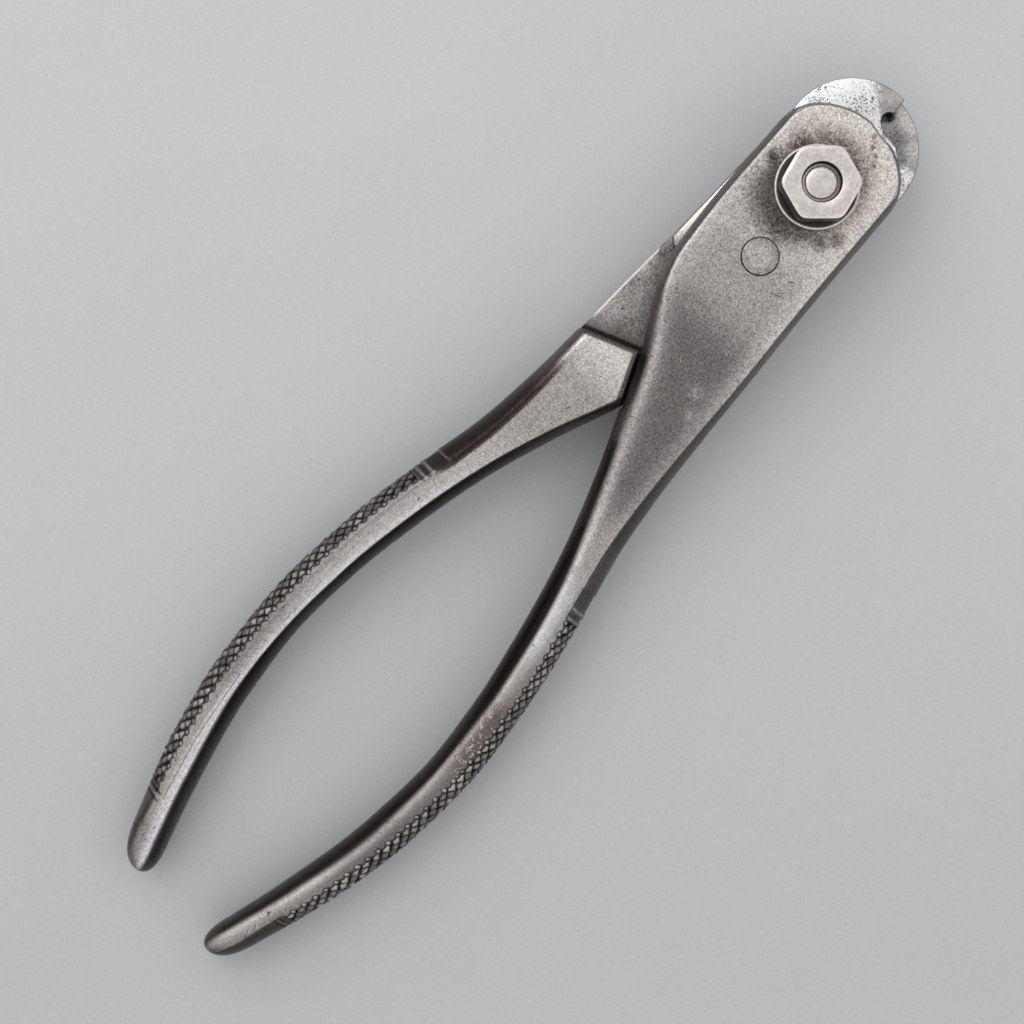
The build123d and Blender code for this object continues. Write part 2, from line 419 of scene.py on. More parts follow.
steelTones = {
    "bright": (0.69, 0.62, 0.56, 1),
    "block": (0.62, 0.585, 0.565, 1),
    "pale": (0.55, 0.52, 0.50, 1),
    "strip": (0.45, 0.425, 0.415, 1),
    "cool": (0.56, 0.555, 0.58, 1),
    "worn": (0.37, 0.345, 0.335, 1),
    "dull": (0.162, 0.146, 0.142, 1),
    "brown": (0.16, 0.125, 0.115, 1),
    "tarnish": (0.26, 0.24, 0.235, 1),
    "dusk": (0.195, 0.18, 0.175, 1),
    "band": (0.115, 0.11, 0.11, 1),
    "deep": (0.075, 0.066, 0.064, 1),
    "patina": (0.025, 0.0175, 0.0165, 1),
    "grime": (0.014, 0.010, 0.008, 1),
    "rust": (0.085, 0.055, 0.04, 1),
    "rim": (0.62, 0.595, 0.58, 1),
    "coolWearAndHighlight": (0.70, 0.70, 0.745, 1),
    "umber": (0.055, 0.032, 0.027, 1),
    "silver": (0.85, 0.85, 0.85, 1),
}
stainBreak = 9.0  # how strongly the half-way places of a stain break up


# windows fade over "fade" at both ends; "shadow" shifts the dark line from the light one
crackLook = {
    "cell": 1.1, "shake": (0.9, 0.5), "line": (0.16, 0.02), "fade": 2,
    "breakSize": 0.8, "breaks": (0.50, 0.60),
    "shadow": (0.13, 0.1, 0), "dark": 0.75, "light": 0.8,
}


def crackMask(tree, point, along, windows):
    # fine broken lines, in the given windows along the tool only
    look = crackLook
    inputs = {"Vector": shakenPoint(tree, point, *look["shake"]), "Scale": 1 / (look["cell"] * mm)}
    cells = addNode(tree, "ShaderNodeTexVoronoi", inputs, feature="DISTANCE_TO_EDGE")
    line = eased(tree, cells.outputs["Distance"], *look["line"])
    broken = grain(tree, point, look["breakSize"], 3, 0.7, 14)
    line = times(tree, line, eased(tree, broken, *look["breaks"]))
    reach = 0.0
    for middle, half, strength in windows:
        away = mathOf(tree, "ABSOLUTE", minus(tree, along, middle * mm))
        window = eased(tree, away, (half + look["fade"]) * mm, (half - look["fade"]) * mm)
        reach = larger(tree, times(tree, window, strength), reach)
    return times(tree, line, reach)


# sizes in millimetres; pairs say where a mask is 0 and where it is 1; a share is a mask's strength
forgingFinish = {
    "zoneShake": (2.5, 1.6), "stainShake": (0.8, 0.8), "strokeShake": (0.5, 0.12),
    "cloudSize": 1.9, "clouds": (0.48, 0.70), "cloudShare": 0.2,
    "lumpSize": 0.95, "lumpDepth": 0.05, "rubbedAndLit": (1.1, 0.2),
    "grainSize": 0.26, "grainDepth": 0.66, "gripStart": (-74, -56),
    "speckSize": 0.42, "pits": (0.65, 0.71), "pitShare": 0.75,
    "blockEdgeShade": (1.2, 0.2),
    "turnOut": (0.15, 0.6), "turnIn": (1.0, 0.8), "turnRim": (0.25, 0.05), "turnShare": 0.75,
    # the shoulder's pair is the painted shadow of the recess's wall on its floor; the wall foot's pair is
    # dirt and painted shade at that wall's foot
    "grimeBreak": 6.0, "shoulder": (6.0, 0.5), "shoulderShadowShare": 0.7,
    "wallFoot": (2.2, 1.0), "wallShare": 0.98,
    "brinkHighlight": (0.42, 0.22), "brinkShare": 0.9,
    "specular": 0.15, "roughness": 0.44, "cloudRough": 0.3, "flankPolish": 0.08, "dirtRough": 0.2,
    "stainDull": 0.8, "dirtCover": 0.5,
    "grainHeight": 0.5, "flankFill": 0.6, "bump": 0.6, "bumpHeight": 0.06,
}


def zonedFace(tree, along, zones):
    # colours that follow one another down the tool
    face = addNode(tree, "ShaderNodeRGB").outputs[0]
    face.default_value = steelTones[zones[0][1]]
    for start, tone, soft in zones[1:]:
        share = eased(tree, along, (start + soft) * mm, (start - soft) * mm)
        face = tinted(tree, share, face, steelTones[tone])
    return face


def markedFace(tree, face, point, along, speck, look):
    # stains, painted shade, scratches and battered places of one forging; also how dirty or shaded each place
    # is
    finish, tones = forgingFinish, steelTones
    close = shakenPoint(tree, point, *finish["stainShake"])
    face, dirtAndShade = stainedAndShaded(tree, face, close, look["spots"], speck)
    line = shakenPoint(tree, point, *finish["strokeShake"])
    for start, stop, width, strength, tone in look["strokes"]:
        mask = times(tree, strokeMask(tree, line, start, stop, width), strength)
        face = tinted(tree, mask, face, tones[tone])
    if look["battered"]:
        # the battered cracks: a dark line shifted off a light one, a painted shadow and a painted highlight
        moved = vectorOf(tree, "ADD", point, tuple(Vector(crackLook["shadow"]) * mm))
        crackShadow = times(tree, crackMask(tree, moved, along, look["battered"]), crackLook["dark"])
        face = tinted(tree, crackShadow, face, tones["deep"])
        crackHighlight = times(tree, crackMask(tree, point, along, look["battered"]), crackLook["light"])
        face = tinted(tree, crackHighlight, face, tones["rim"])
    return face, dirtAndShade


def sidedFace(tree, face, shadedFlank):
    # the sides painted dark as shade, darker where patina lies, with a brown skin where the rubbed face turns
    # into them
    finish, tones = forgingFinish, steelTones
    side = tinted(tree, attributeOf(tree, "patina"), tones["band"], tones["patina"])
    face = tinted(tree, shadedFlank, face, side)
    turn = times(tree, eased(tree, shadedFlank, *finish["turnOut"]), eased(tree, shadedFlank, *finish["turnIn"]))
    turn = times(tree, turn, eased(tree, attributeOf(tree, "rim"), *finish["turnRim"]))
    return tinted(tree, times(tree, turn, finish["turnShare"]), face, tones["umber"])


def grimeMask(tree, speck):
    # dirt and painted shade in the bands and the recess, with a painted shadow that spreads from the recess's
    # wall, darkest at its foot, where dirt lies too
    finish = forgingFinish
    wall = attributeOf(tree, "wall")
    shoulder = times(tree, eased(tree, wall, *finish["shoulder"]), finish["shoulderShadowShare"])
    grime = larger(tree, roughened(tree, attributeOf(tree, "grime"), speck, finish["grimeBreak"]), shoulder)
    return larger(tree, grime, times(tree, eased(tree, wall, *finish["wallFoot"]), finish["wallShare"]))


def forgedSteel(name, look):
    # hand-worn forging: zones along the tool, flanks painted dark as shade, rubbed rims with painted
    # highlights, stains, painted shade and shadow, a fine grain over all
    finish, tones = forgingFinish, steelTones
    material, tree, shader = newMaterial(name)
    point = objectPoint(tree)
    shaken = shakenPoint(tree, point, *finish["zoneShake"])
    along = addNode(tree, "ShaderNodeSeparateXYZ", {"Vector": shaken}).outputs["Y"]
    face = zonedFace(tree, along, look["zones"])
    cloud = grain(tree, point, finish["cloudSize"], 4, 0.62, 3)
    fine = grain(tree, point, finish["grainSize"], 3, 0.75, 4)
    lumps = grain(tree, point, finish["lumpSize"], 3, 0.6, 6)
    cloudy = times(tree, eased(tree, cloud, *finish["clouds"]), finish["cloudShare"])
    face = tinted(tree, cloudy, face, tones["dull"])
    face = tinted(tree, attributeOf(tree, "shade"), face, tones["band"])
    # rims rubbed bright; along the grips' inner edge this is a painted highlight
    rubbedAndLit = times(tree, attributeOf(tree, "rim"), eased(tree, lumps, *finish["rubbedAndLit"]))
    face = tinted(tree, rubbedAndLit, face, tones[look["rimTone"]])
    speck = grain(tree, point, finish["speckSize"], 4, 0.8, 11)
    face, dirtAndShade = markedFace(tree, face, point, along, speck, look)
    # painted shade over the block's rounded edge, laid on with the dark sides
    blockEdgeShade = eased(tree, attributeOf(tree, "blockEdgeShade"), *finish["blockEdgeShade"])
    shadedFlank = larger(tree, attributeOf(tree, "shadedFlank"), blockEdgeShade)
    face = sidedFace(tree, face, shadedFlank)
    low, high = finish["gripStart"]
    coarse = ranged(tree, along, low * mm, high * mm, look["smoothGrip"], 1.0)
    depth = finish["grainDepth"]
    face = tinted(tree, coarse, face, greyOf(tree, fine, 1 - depth, 1 + depth), "MULTIPLY")
    depth = finish["lumpDepth"]
    face = tinted(tree, 1.0, face, greyOf(tree, lumps, 1 - depth, 1 + depth), "MULTIPLY")
    pits = eased(tree, grain(tree, point, finish["speckSize"], 2, 0.6, 9), *finish["pits"])
    face = tinted(tree, times(tree, pits, finish["pitShare"]), face, tones["grime"])
    # dirt and painted shade, with the painted shadow of the recess's wall
    grime = grimeMask(tree, speck)
    face = tinted(tree, grime, face, tones["grime"])
    # a painted highlight: a bright line along the recess floor's outer edge
    brinkHighlight = eased(tree, attributeOf(tree, "brinkHighlight"), *finish["brinkHighlight"])
    face = tinted(tree, times(tree, brinkHighlight, finish["brinkShare"]), face, tones["silver"])
    tree.links.new(face, shader.inputs["Base Color"])
    dulled = larger(tree, times(tree, dirtAndShade, finish["stainDull"]), grime)
    metal = minus(tree, 1.0, times(tree, dulled, finish["dirtCover"]))
    tree.links.new(metal, shader.inputs["Metallic"])
    shader.inputs["Specular IOR Level"].default_value = finish["specular"]
    uneven = times(tree, minus(tree, cloud, 0.5), finish["cloudRough"])
    roughness = plus(tree, finish["roughness"], uneven)
    roughness = minus(tree, roughness, times(tree, shadedFlank, finish["flankPolish"]))
    roughness = plus(tree, roughness, times(tree, dulled, finish["dirtRough"]))
    tree.links.new(roughness, shader.inputs["Roughness"])
    height = minus(tree, times(tree, fine, finish["grainHeight"]), pits)
    height = times(tree, height, minus(tree, 1.0, times(tree, shadedFlank, finish["flankFill"])))
    tree.links.new(bumpOf(tree, height, finish["bump"], finish["bumpHeight"]), shader.inputs["Normal"])
    return material


# for each forging: zones (start, tone, softness), spots (place, reach, softness, strength, tone), strokes
# (start, stop, width, strength, tone) and battered stretches (middle, half length, strength)
frontForgingLook = {
    "smoothGrip": 0.47, "rimTone": "rim",
    "battered": [(-70, 8, 0.45), (-100, 9, 0.8), (-146, 7, 0.8)],
    "zones": [
        (20, "bright", 0), (-3, "pale", 5), (-12, "worn", 5), (-26, "dull", 5), (-60, "worn", 5),
        (-72, "cool", 4), (-86, "worn", 4), (-94, "brown", 3), (-107, "tarnish", 4), (-119, "dusk", 5),
        (-133, "worn", 5), (-154, "dull", 2.5),
    ],
    "spots": [
        ((-0.3, 1.9), 7.6, 2.2, 0.70, "patina"),
        ((-1.3, -3.2), 7.3, 2.4, 0.84, "patina"),
        # the next three soft spots darken the head's left side, where the lamp lights it most: painted shade
        ((-10.0, 3.0), 3.6, 3.0, 0.22, "worn"), ((-9.0, -6.5), 5.0, 4.0, 0.26, "dull"),
        ((-7.5, 6.0), 3.2, 3.0, 0.12, "dull"),
        ((-8.3, -0.7), 1.0, 0.9, 0.80, "grime"),
        ((-6.6, 3.6), 1.4, 1.0, 0.55, "grime"),
        ((8.0, -4.0), 1.2, 0.9, 0.72, "rust"),
        ((0.0, -9.3), 1.5, 1.4, 0.35, "patina"),
        ((6.4, -6.2), 1.2, 0.8, 0.6, "grime"),
        ((2.2, 11.4), 0.7, 0.6, 0.35, "brown"),
        ((3.4, 9.4), 0.8, 0.8, 0.3, "brown"),
        ((-6.7, -32.2), 0.25, 0.15, 0.9, "grime"),
        ((12.0, -150.6), 0.35, 0.2, 0.8, "grime"),
        ((12.2, -144.9), 0.3, 0.2, 0.8, "grime"),
        ((1.5, 11.9), 0.35, 0.3, 0.6, "grime"),
        ((2.4, 10.6), 0.4, 0.3, 0.55, "grime"),
        ((3.6, 9.9), 0.45, 0.4, 0.6, "grime"),
        ((4.4, 8.6), 0.4, 0.4, 0.5, "grime"),
        ((7.4, -36.8), 1.3, 1.2, 0.30, "worn"),
        ((9.2, -40.0), 0.9, 0.8, 0.35, "worn"),
    ],
    "strokes": [
        ((6.6, -13.9), (7.4, -13.5), 0.14, 0.85, "grime"),
        ((5.9, -17.0), (7.5, -16.5), 0.10, 0.85, "grime"),
        ((6.6, -16.4), (7.2, -15.9), 0.09, 0.7, "grime"),
        ((-6.9, -29.3), (-6.2, -29.6), 0.12, 0.9, "grime"),
        ((-6.8, -30.5), (-6.2, -30.7), 0.12, 0.8, "grime"),
        # a wide pale stroke down the front's inner side in the neck: painted light, lifting it where the rear
        # block shades it
        ((-3.4, -38.2), (2.9, -50.2), 1.1, 0.75, "pale"),
        ((1.9, -34.9), (1.4, -34.3), 0.11, 0.4, "rim"),
        ((2.3, -34.7), (1.8, -34.1), 0.11, 0.35, "rim"),
        ((2.1, -34.8), (1.6, -34.2), 0.10, 0.6, "deep"),
        ((6.9, -29.2), (6.4, -28.6), 0.10, 0.5, "rim"),
        ((7.1, -29.0), (6.9, -28.4), 0.10, 0.4, "rim"),
        ((7.6, -37.3), (7.1, -36.6), 0.10, 0.5, "rim"),
        ((8.0, -37.8), (8.2, -37.1), 0.10, 0.4, "rim"),
        ((7.0, -38.4), (7.7, -38.2), 0.09, 0.6, "grime"),
        ((9.3, -40.6), (9.0, -39.8), 0.10, 0.5, "rim"),
        ((1.9, -46.4), (3.4, -45.9), 0.10, 0.7, "grime"),
    ],
}
struckRow = {
    "start": (-18.1, -110.95), "run": (0.7, 0.65), "step": -1.75, "spread": 0.05, "count": 7,
    "width": 0.16, "strength": 0.55, "tone": "dull",
}


def struckStrokes():
    # a row of short dull strokes, one below another
    row = struckRow
    strokes = []
    for k in range(row["count"]):
        x, y = row["start"][0], row["start"][1] + row["step"] * k
        stop = (x + row["run"][0] + row["spread"] * k, y + row["run"][1])
        strokes.append(((x, y), stop, row["width"], row["strength"], row["tone"]))
    return strokes


rearForgingLook = {
    "smoothGrip": 0.73, "rimTone": "coolWearAndHighlight", "battered": [],
    "zones": [
        (20, "pale", 0), (-28, "strip", 4), (-39, "block", 2), (-42.5, "pale", 2), (-45.8, "worn", 3),
        (-62, "strip", 6), (-104, "worn", 5), (-122, "pale", 5), (-146, "worn", 4), (-154, "dull", 3),
    ],
    "spots": [
        ((-11.6, -22.4), 1.5, 1.2, 0.5, "rust"), ((-9.6, -25.5), 1.4, 1.3, 0.35, "grime"),
        ((-12.6, -30.0), 1.6, 1.6, 0.40, "rust"), ((-10.3, -33.0), 2.0, 2.0, 0.30, "deep"),
        ((-8.0, -35.4), 1.6, 1.4, 0.40, "rust"), ((-10.6, -28.0), 1.2, 1.0, 0.30, "band"),
    ],
    # the row of strokes, then long rubbed lines down the strip's inner edge
    "strokes": struckStrokes() + [
        ((-16.6, -118.0), (-14.9, -131.0), 0.22, 0.7, "cool"),
        ((-14.9, -131.0), (-12.4, -142.0), 0.20, 0.7, "cool"),
        ((-17.0, -119.0), (-15.4, -131.5), 0.13, 0.8, "dull"),
        ((-15.4, -131.5), (-12.9, -142.5), 0.13, 0.8, "dull"),
        ((-17.3, -124.0), (-16.0, -131.5), 0.10, 0.6, "dull"),
        ((-12.4, -142.0), (-10.6, -149.0), 0.16, 0.6, "cool"),
        ((-16.4, -86.0), (-17.4, -97.0), 0.10, 0.5, "dull"),
        ((-17.1, -99.0), (-17.3, -108.0), 0.09, 0.5, "dull"),
    ],
}
dowelLook = {
    "smoothGrip": 1.0, "rimTone": "rim", "battered": [],
    "zones": [(20, "strip", 0)], "spots": [], "strokes": [],
}


knurlLook = {
    "ground": (0.018, 0.015, 0.014, 1),
    "slope": (0.15, 0.14, 0.137, 1),
    "crown": (0.43, 0.41, 0.405, 1),
    "slopeRange": (0.15, 0.7),
    "crownRange": (0.65, 1.2),
    "mottleSize": 0.6,
    "mottle": 0.8,
    "wear": 0.7,
    "metallic": 0.9,
    "roughness": 0.42,
}


def knurlSteel():
    # darker low between the bumps and bright on their crowns, from wear and a painted highlight; each bump
    # worn in its own way
    look = knurlLook
    material, tree, shader = newMaterial("knurlSteel")
    mottle = minus(tree, grain(tree, objectPoint(tree), look["mottleSize"], 3, 0.6, 3), 0.5)
    wear = minus(tree, attributeOf(tree, "wear"), 0.5)
    worn = plus(tree, attributeOf(tree, "crown"), times(tree, mottle, look["mottle"]))
    face = tinted(tree, eased(tree, worn, *look["slopeRange"]), look["ground"], look["slope"])
    rubbedAndLit = plus(tree, worn, times(tree, wear, look["wear"]))
    face = tinted(tree, eased(tree, rubbedAndLit, *look["crownRange"]), face, look["crown"])
    tree.links.new(face, shader.inputs["Base Color"])
    shader.inputs["Metallic"].default_value = look["metallic"]
    shader.inputs["Roughness"].default_value = look["roughness"]
    return material


# as for the forgings
brightFinish = {
    "cloudSize": 2.4, "clouds": (0.40, 0.64),
    "lumpSize": 0.8, "lumpDepth": 0.1, "fineSize": 0.3, "fineDepth": 0.18,
    "stainShake": (0.9, 0.9), "speckSize": 0.26, "specks": (0.60, 0.70), "speckRough": 0.4,
    "bump": 0.35, "bumpHeight": 0.04,
}


def brightSteel(name, look):
    # machined part: one colour with dark specks, denser in places, stains and painted shade, and dirt and
    # painted shade where the piece says so
    finish = brightFinish
    material, tree, shader = newMaterial(name)
    point = objectPoint(tree)
    cloud = grain(tree, point, finish["cloudSize"], 4, 0.6)
    lumps = grain(tree, point, finish["lumpSize"], 3, 0.6, 6)
    fine = grain(tree, point, finish["fineSize"], 2, 0.7, 7)
    colour = tinted(tree, eased(tree, cloud, *finish["clouds"]), look["base"], look["second"])
    close = shakenPoint(tree, point, *finish["stainShake"])
    colour, _ = stainedAndShaded(tree, colour, close, look["spots"], fine)
    for noise, depth in ((fine, finish["fineDepth"]), (lumps, finish["lumpDepth"])):
        colour = tinted(tree, 1.0, colour, greyOf(tree, noise, 1 - depth, 1 + depth), "MULTIPLY")
    dotted = grain(tree, point, finish["speckSize"], 3, 0.7, 5)
    for place, reach, soft, more in look["specks"]:
        dotted = plus(tree, dotted, times(tree, spotMask(tree, close, place, reach, soft), more))
    dots = times(tree, eased(tree, dotted, *finish["specks"]), look["speckle"])
    colour = tinted(tree, dots, colour, steelTones["grime"])
    colour = tinted(tree, attributeOf(tree, "grime"), colour, steelTones["grime"])
    tree.links.new(colour, shader.inputs["Base Color"])
    shader.inputs["Metallic"].default_value = 1.0
    roughness = plus(tree, look["roughness"], times(tree, dots, finish["speckRough"]))
    tree.links.new(roughness, shader.inputs["Roughness"])
    height = minus(tree, fine, dots)
    tree.links.new(bumpOf(tree, height, finish["bump"], finish["bumpHeight"]), shader.inputs["Normal"])
    return material


# spots as on the forgings; specks (place, reach, softness, how many more)
frontBladeLook = {
    "base": (0.34, 0.335, 0.335, 1), "second": (0.45, 0.42, 0.40, 1), "roughness": 0.30, "speckle": 0.85,
    "spots": [
        ((-7.5, 13.8), 6.5, 1.2, 1.0, "silver"), ((-2.6, 14.2), 3.1, 0.8, 1.0, "silver"),
        ((1.2, 14.2), 1.0, 0.6, 0.9, "silver"), ((4.4, 13.6), 1.6, 0.9, 0.7, "silver"),
        ((-9.5, 10.8), 1.3, 1.2, 0.45, "band"), ((2.6, 14.6), 0.7, 0.6, 0.5, "band"),
    ],
    "specks": [
        ((-9.0, 12.5), 2.6, 1.8, 0.10), ((-3.5, 17.0), 3.2, 1.6, 0.05), ((-3.2, 14.6), 2.6, 1.4, 0.07),
        ((2.4, 14.2), 2.0, 1.0, 0.07),
    ],
}
rearBladeLook = {
    "base": (0.36, 0.36, 0.365, 1), "second": (0.34, 0.335, 0.335, 1), "roughness": 0.34, "speckle": 0.8,
    "spots": [
        # the band spots beside the front blade's edge are painted shade, and the dark spot under its notch a
        # painted shadow
        ((4.4, 15.2), 2.0, 1.6, 0.72, "band"), ((1.15, 17.5), 0.9, 0.5, 0.97, "grime"),
        ((8.9, 12.9), 0.7, 0.6, 0.6, "silver"), ((10.0, 12.2), 0.9, 0.6, 0.9, "silver"),
        ((11.0, 9.6), 1.6, 0.7, 0.6, "silver"), ((7.2, 13.6), 1.0, 0.9, 0.5, "band"),
        ((4.5, 19.6), 2.2, 1.2, 0.7, "pale"), ((8.2, 16.6), 1.8, 1.2, 0.6, "pale"),
        ((-12.0, -12.0), 6.5, 2.0, 1.0, "bright"),
    ],
    "specks": [
        ((3.4, 15.2), 2.4, 1.5, 0.08), ((8.0, 13.0), 2.6, 1.4, 0.07), ((11.0, 9.6), 2.2, 1.4, 0.06),
        ((-12.0, -12.0), 6.5, 2.0, -0.12),
    ],
}
boltLook = {
    "base": (0.70, 0.65, 0.62, 1), "second": (0.63, 0.59, 0.57, 1), "roughness": 0.36, "speckle": 0.5,
    "spots": [], "specks": [],
}


# Forged handles: a section law along the tool, then cuts, then marks

# lists run down the handle in (y, value); cuts are (top, foot, depth), ridges (place, brightness)
handleShape = {
    "headHalf": 11.65, "headStart": 5.14, "cornerRadius": 8.2, "endRadius": 14.0,
    "outerEdge": [
        (5.14, 11.65), (-13.0, 12.2), (-30.0, 13.1), (-47.0, 13.95), (-61.5, 15.45),
        (-76.0, 18.5), (-91.0, 21.25), (-108.0, 22.75), (-121.0, 21.95), (-136.0, 19.1), (-151.0, 14.3),
    ],
    "innerEdge": [
        (5.14, -11.65), (-8.0, -11.5), (-21.0, -10.7), (-26.0, -9.4), (-38.3, -3.1),
        (-46.0, 0.0), (-56.7, 4.3), (-71.4, 9.1), (-86.0, 12.4), (-98.0, 14.4), (-110.0, 15.3),
        (-124.0, 14.2), (-141.0, 10.7), (-151.0, 7.95),
    ],
    "plateSide": [(5.14, 6.4), (-40.0, 6.4), (-56.0, 5.7), (-72.0, 4.8), (-140.0, 4.6), (-151.0, 4.2)],
    "recessSide": [(5.14, 5.6), (-42.0, 5.6), (-56.0, 5.3), (-72.0, 4.7), (-140.0, 4.6), (-151.0, 4.2)],
    "outerInset": [
        (5.14, 1.4), (-30.0, 1.45), (-46.0, 1.8), (-61.5, 2.4), (-78.0, 2.85), (-92.0, 2.9),
        (-108.0, 3.2), (-128.0, 3.3), (-143.0, 2.9), (-151.0, 2.4),
    ],
    "tipLength": 6.265, "tipFullness": 2.5, "tipLean": 0.33, "tipLeast": 0.004, "gripEnd": -151.0,
    "outerCrease": [(5.14, 0.35), (-50.0, 0.5), (-72.0, 0.25), (-143.0, 0.25), (-151.0, 0.6)],
    "reliefX": 2.3, "reliefHalf": 3.0, "reliefDepth": 0.42, "reliefFrom": (10.5, 13.5),
}
# how finely the handles are built: stations along them and steps round each ring
ringShape = {
    "station": 0.55, "fineStation": 0.14, "patternStation": 0.26, "fineMargins": (0.8, 0.6),
    "flatSteps": 34, "sideSteps": 20, "creaseSteps": 6, "edgeSteps": 7,
    "endSteps": 18, "cornerSteps": 16, "tipSteps": 16, "sharpAngle": 32,
}
cutShape = {"knurlDepth": 0.38, "lip": (0.08, 0.1), "sinkRun": 0.7, "toothLength": 0.9}
# the rear handle is shorter, a little straighter and fuller in the grip than the front one
lengthShape = {
    "shortStart": -50.0, "shortRun": 40.0, "swayStart": -30.0, "swellStart": -108.0, "swellRun": 32.0,
    "rounds": 6,
}
halves = {
    "front": {
        "body": "front_half", "shortfall": 0.0, "sway": 0.0, "swell": 0.0,
        "innerInset": [
            (5.14, 1.3), (-24.0, 1.35), (-36.0, 1.9), (-46.0, 2.2), (-55.0, 2.4), (-61.5, 2.6),
            (-80.0, 3.1), (-92.0, 2.8), (-108.0, 2.2), (-125.0, 2.7), (-151.0, 1.9),
        ],
        "innerCrease": [(5.14, 0.35), (-24.0, 0.5), (-36.0, 1.6), (-62.0, 1.3), (-74.0, 0.8), (-151.0, 0.9)],
        "innerSoft": [
            (5.14, 0.25), (-24.0, 0.4), (-36.0, 1.8), (-52.0, 1.5), (-62.0, 1.2), (-76.0, 0.8), (-108, 0.7),
            (-120.0, 1.1), (-151.0, 1.2),
        ],
        "outerSoft": [(5.14, 0.3), (-72.0, 0.3), (-151.0, 0.4)],
        "patina": [
            (5.14, 0.0), (-50.0, 0.0), (-68.0, 1.0), (-90.0, 1.0), (-104.0, 0.8), (-118.0, 0.85),
            (-152.0, 0.45),
        ],
        "flankEase": 0.92, "rimShare": 1.0, "tipPatina": 0.6, "bandSpread": 0,
        "sheen": 0.4, "cutDirt": 0.2, "ridges": [(-75.35, 0.6), (-76.95, 0.55), (-144.95, 0.45)],
        "cuts": [(-71.65, -74.8, 0.16), (-76.1, -76.6, 0.22), (-144.4, -144.8, 0.2), (-145.1, -145.5, 0.18)],
        "knurl": (-77.4, -143.7),
    },
    "rear": {
        "body": "rear_half", "shortfall": 2.1, "sway": 0.0035, "swell": 0.55,
        "innerInset": [
            (5.14, 1.3), (-46.0, 1.45), (-61.5, 1.8), (-80.0, 1.9), (-108.0, 1.6), (-125.0, 2.2),
            (-151.0, 2.2),
        ],
        "innerCrease": [(5.14, 0.35), (-62.0, 0.3), (-125.0, 0.35), (-151.0, 0.6)],
        "innerSoft": [
            (5.14, 0.25), (-34.0, 0.3), (-40.0, 1.0), (-62.0, 0.5), (-115.0, 0.3), (-132.0, 0.7),
            (-151.0, 0.7),
        ],
        "outerSoft": [
            (5.14, 0.3), (-30.0, 0.4), (-38.0, 0.8), (-64.0, 1.3), (-74.0, 0.5), (-138.0, 0.5),
            (-151.0, 2.2),
        ],
        "patina": [(5.14, 0.0), (-50.0, 0.0), (-68.0, 1.0), (-118.0, 1.0), (-152.0, 0.5)],
        "flankEase": 0.0, "rimShare": 0.0, "tipPatina": 0, "bandSpread": 1,
        "sheen": 0.9, "cutDirt": 0.75, "ridges": [(-70.9, 0.4), (-73.95, 0.5), (-75.4, 0.5), (-142.8, 0.4)],
        "cuts": [
            (-71.0, -73.6, 0.16), (-74.4, -75.0, 0.2), (-75.8, -76.1, 0.18), (-141.9, -142.4, 0.2),
            (-143.2, -143.6, 0.18),
        ],
        "knurl": (-76.5, -141.5),
    },
}


def shortfallAt(half, y):
    # how much shorter the handle has become at y
    past = (lengthShape["shortStart"] - np.asarray(y, float)) / lengthShape["shortRun"]
    return half["shortfall"] * np.clip(past, 0, 1)


def lawY(half, y):
    # the section law's own y for a real place y along this handle
    guess = np.asarray(y, float)
    for _ in range(lengthShape["rounds"]):
        guess = y - shortfallAt(half, guess)
    return guess


def edgesAt(half, y):
    # inner and outer edge for the section law's y
    y = np.asarray(y, float)
    aside = half["sway"] * np.minimum(0, y - lengthShape["swayStart"])
    fuller = half["swell"] * smoothStep(0, 1, (lengthShape["swellStart"] - y) / lengthShape["swellRun"])
    inner = curveThrough(handleShape["innerEdge"])(y) + aside
    outer = curveThrough(handleShape["outerEdge"])(y) + aside + fuller
    return inner, outer


def cutDepth(half, y):
    # how deep the bands, rings and the pattern's ground lie at a real place y
    depth = np.zeros_like(np.asarray(y, float))
    before, after = cutShape["lip"]
    for top, foot, deep in half["cuts"] + [(*half["knurl"], cutShape["knurlDepth"])]:
        inside = smoothStep(top + before, top - after, y) * smoothStep(foot - before, foot + after, y)
        depth = np.maximum(depth, deep * inside)
    return depth


def columnsOf(half):
    top, foot = half["knurl"]
    return 2 * round((top - foot) / knurlShape["pitch"])


def toothAt(half, y):
    # how far the strip's steel reaches out between the first bumps at a real place y
    top, foot = half["knurl"]
    wave = (top - y) / (top - foot) * columnsOf(half) / 2 - 0.75  # whole numbers lie in the middle of a tooth
    share = 1 - 2 * abs(wave - round(wave))
    return cutShape["toothLength"] * share * (foot < y < top)


def sinkShare(place, length, tooth):
    # how much of a cut's depth is reached at a place round the side
    near = min(place, length - place)
    return smoothStep(tooth, tooth + cutShape["sinkRun"], near).item()


def sideArc(above, below, inset):
    # the arc of a handle's side: its middle height, half its height and its radius
    tall = (above + below) / 2
    return (above - below) / 2, tall, (tall ** 2 + inset ** 2) / (2 * inset)


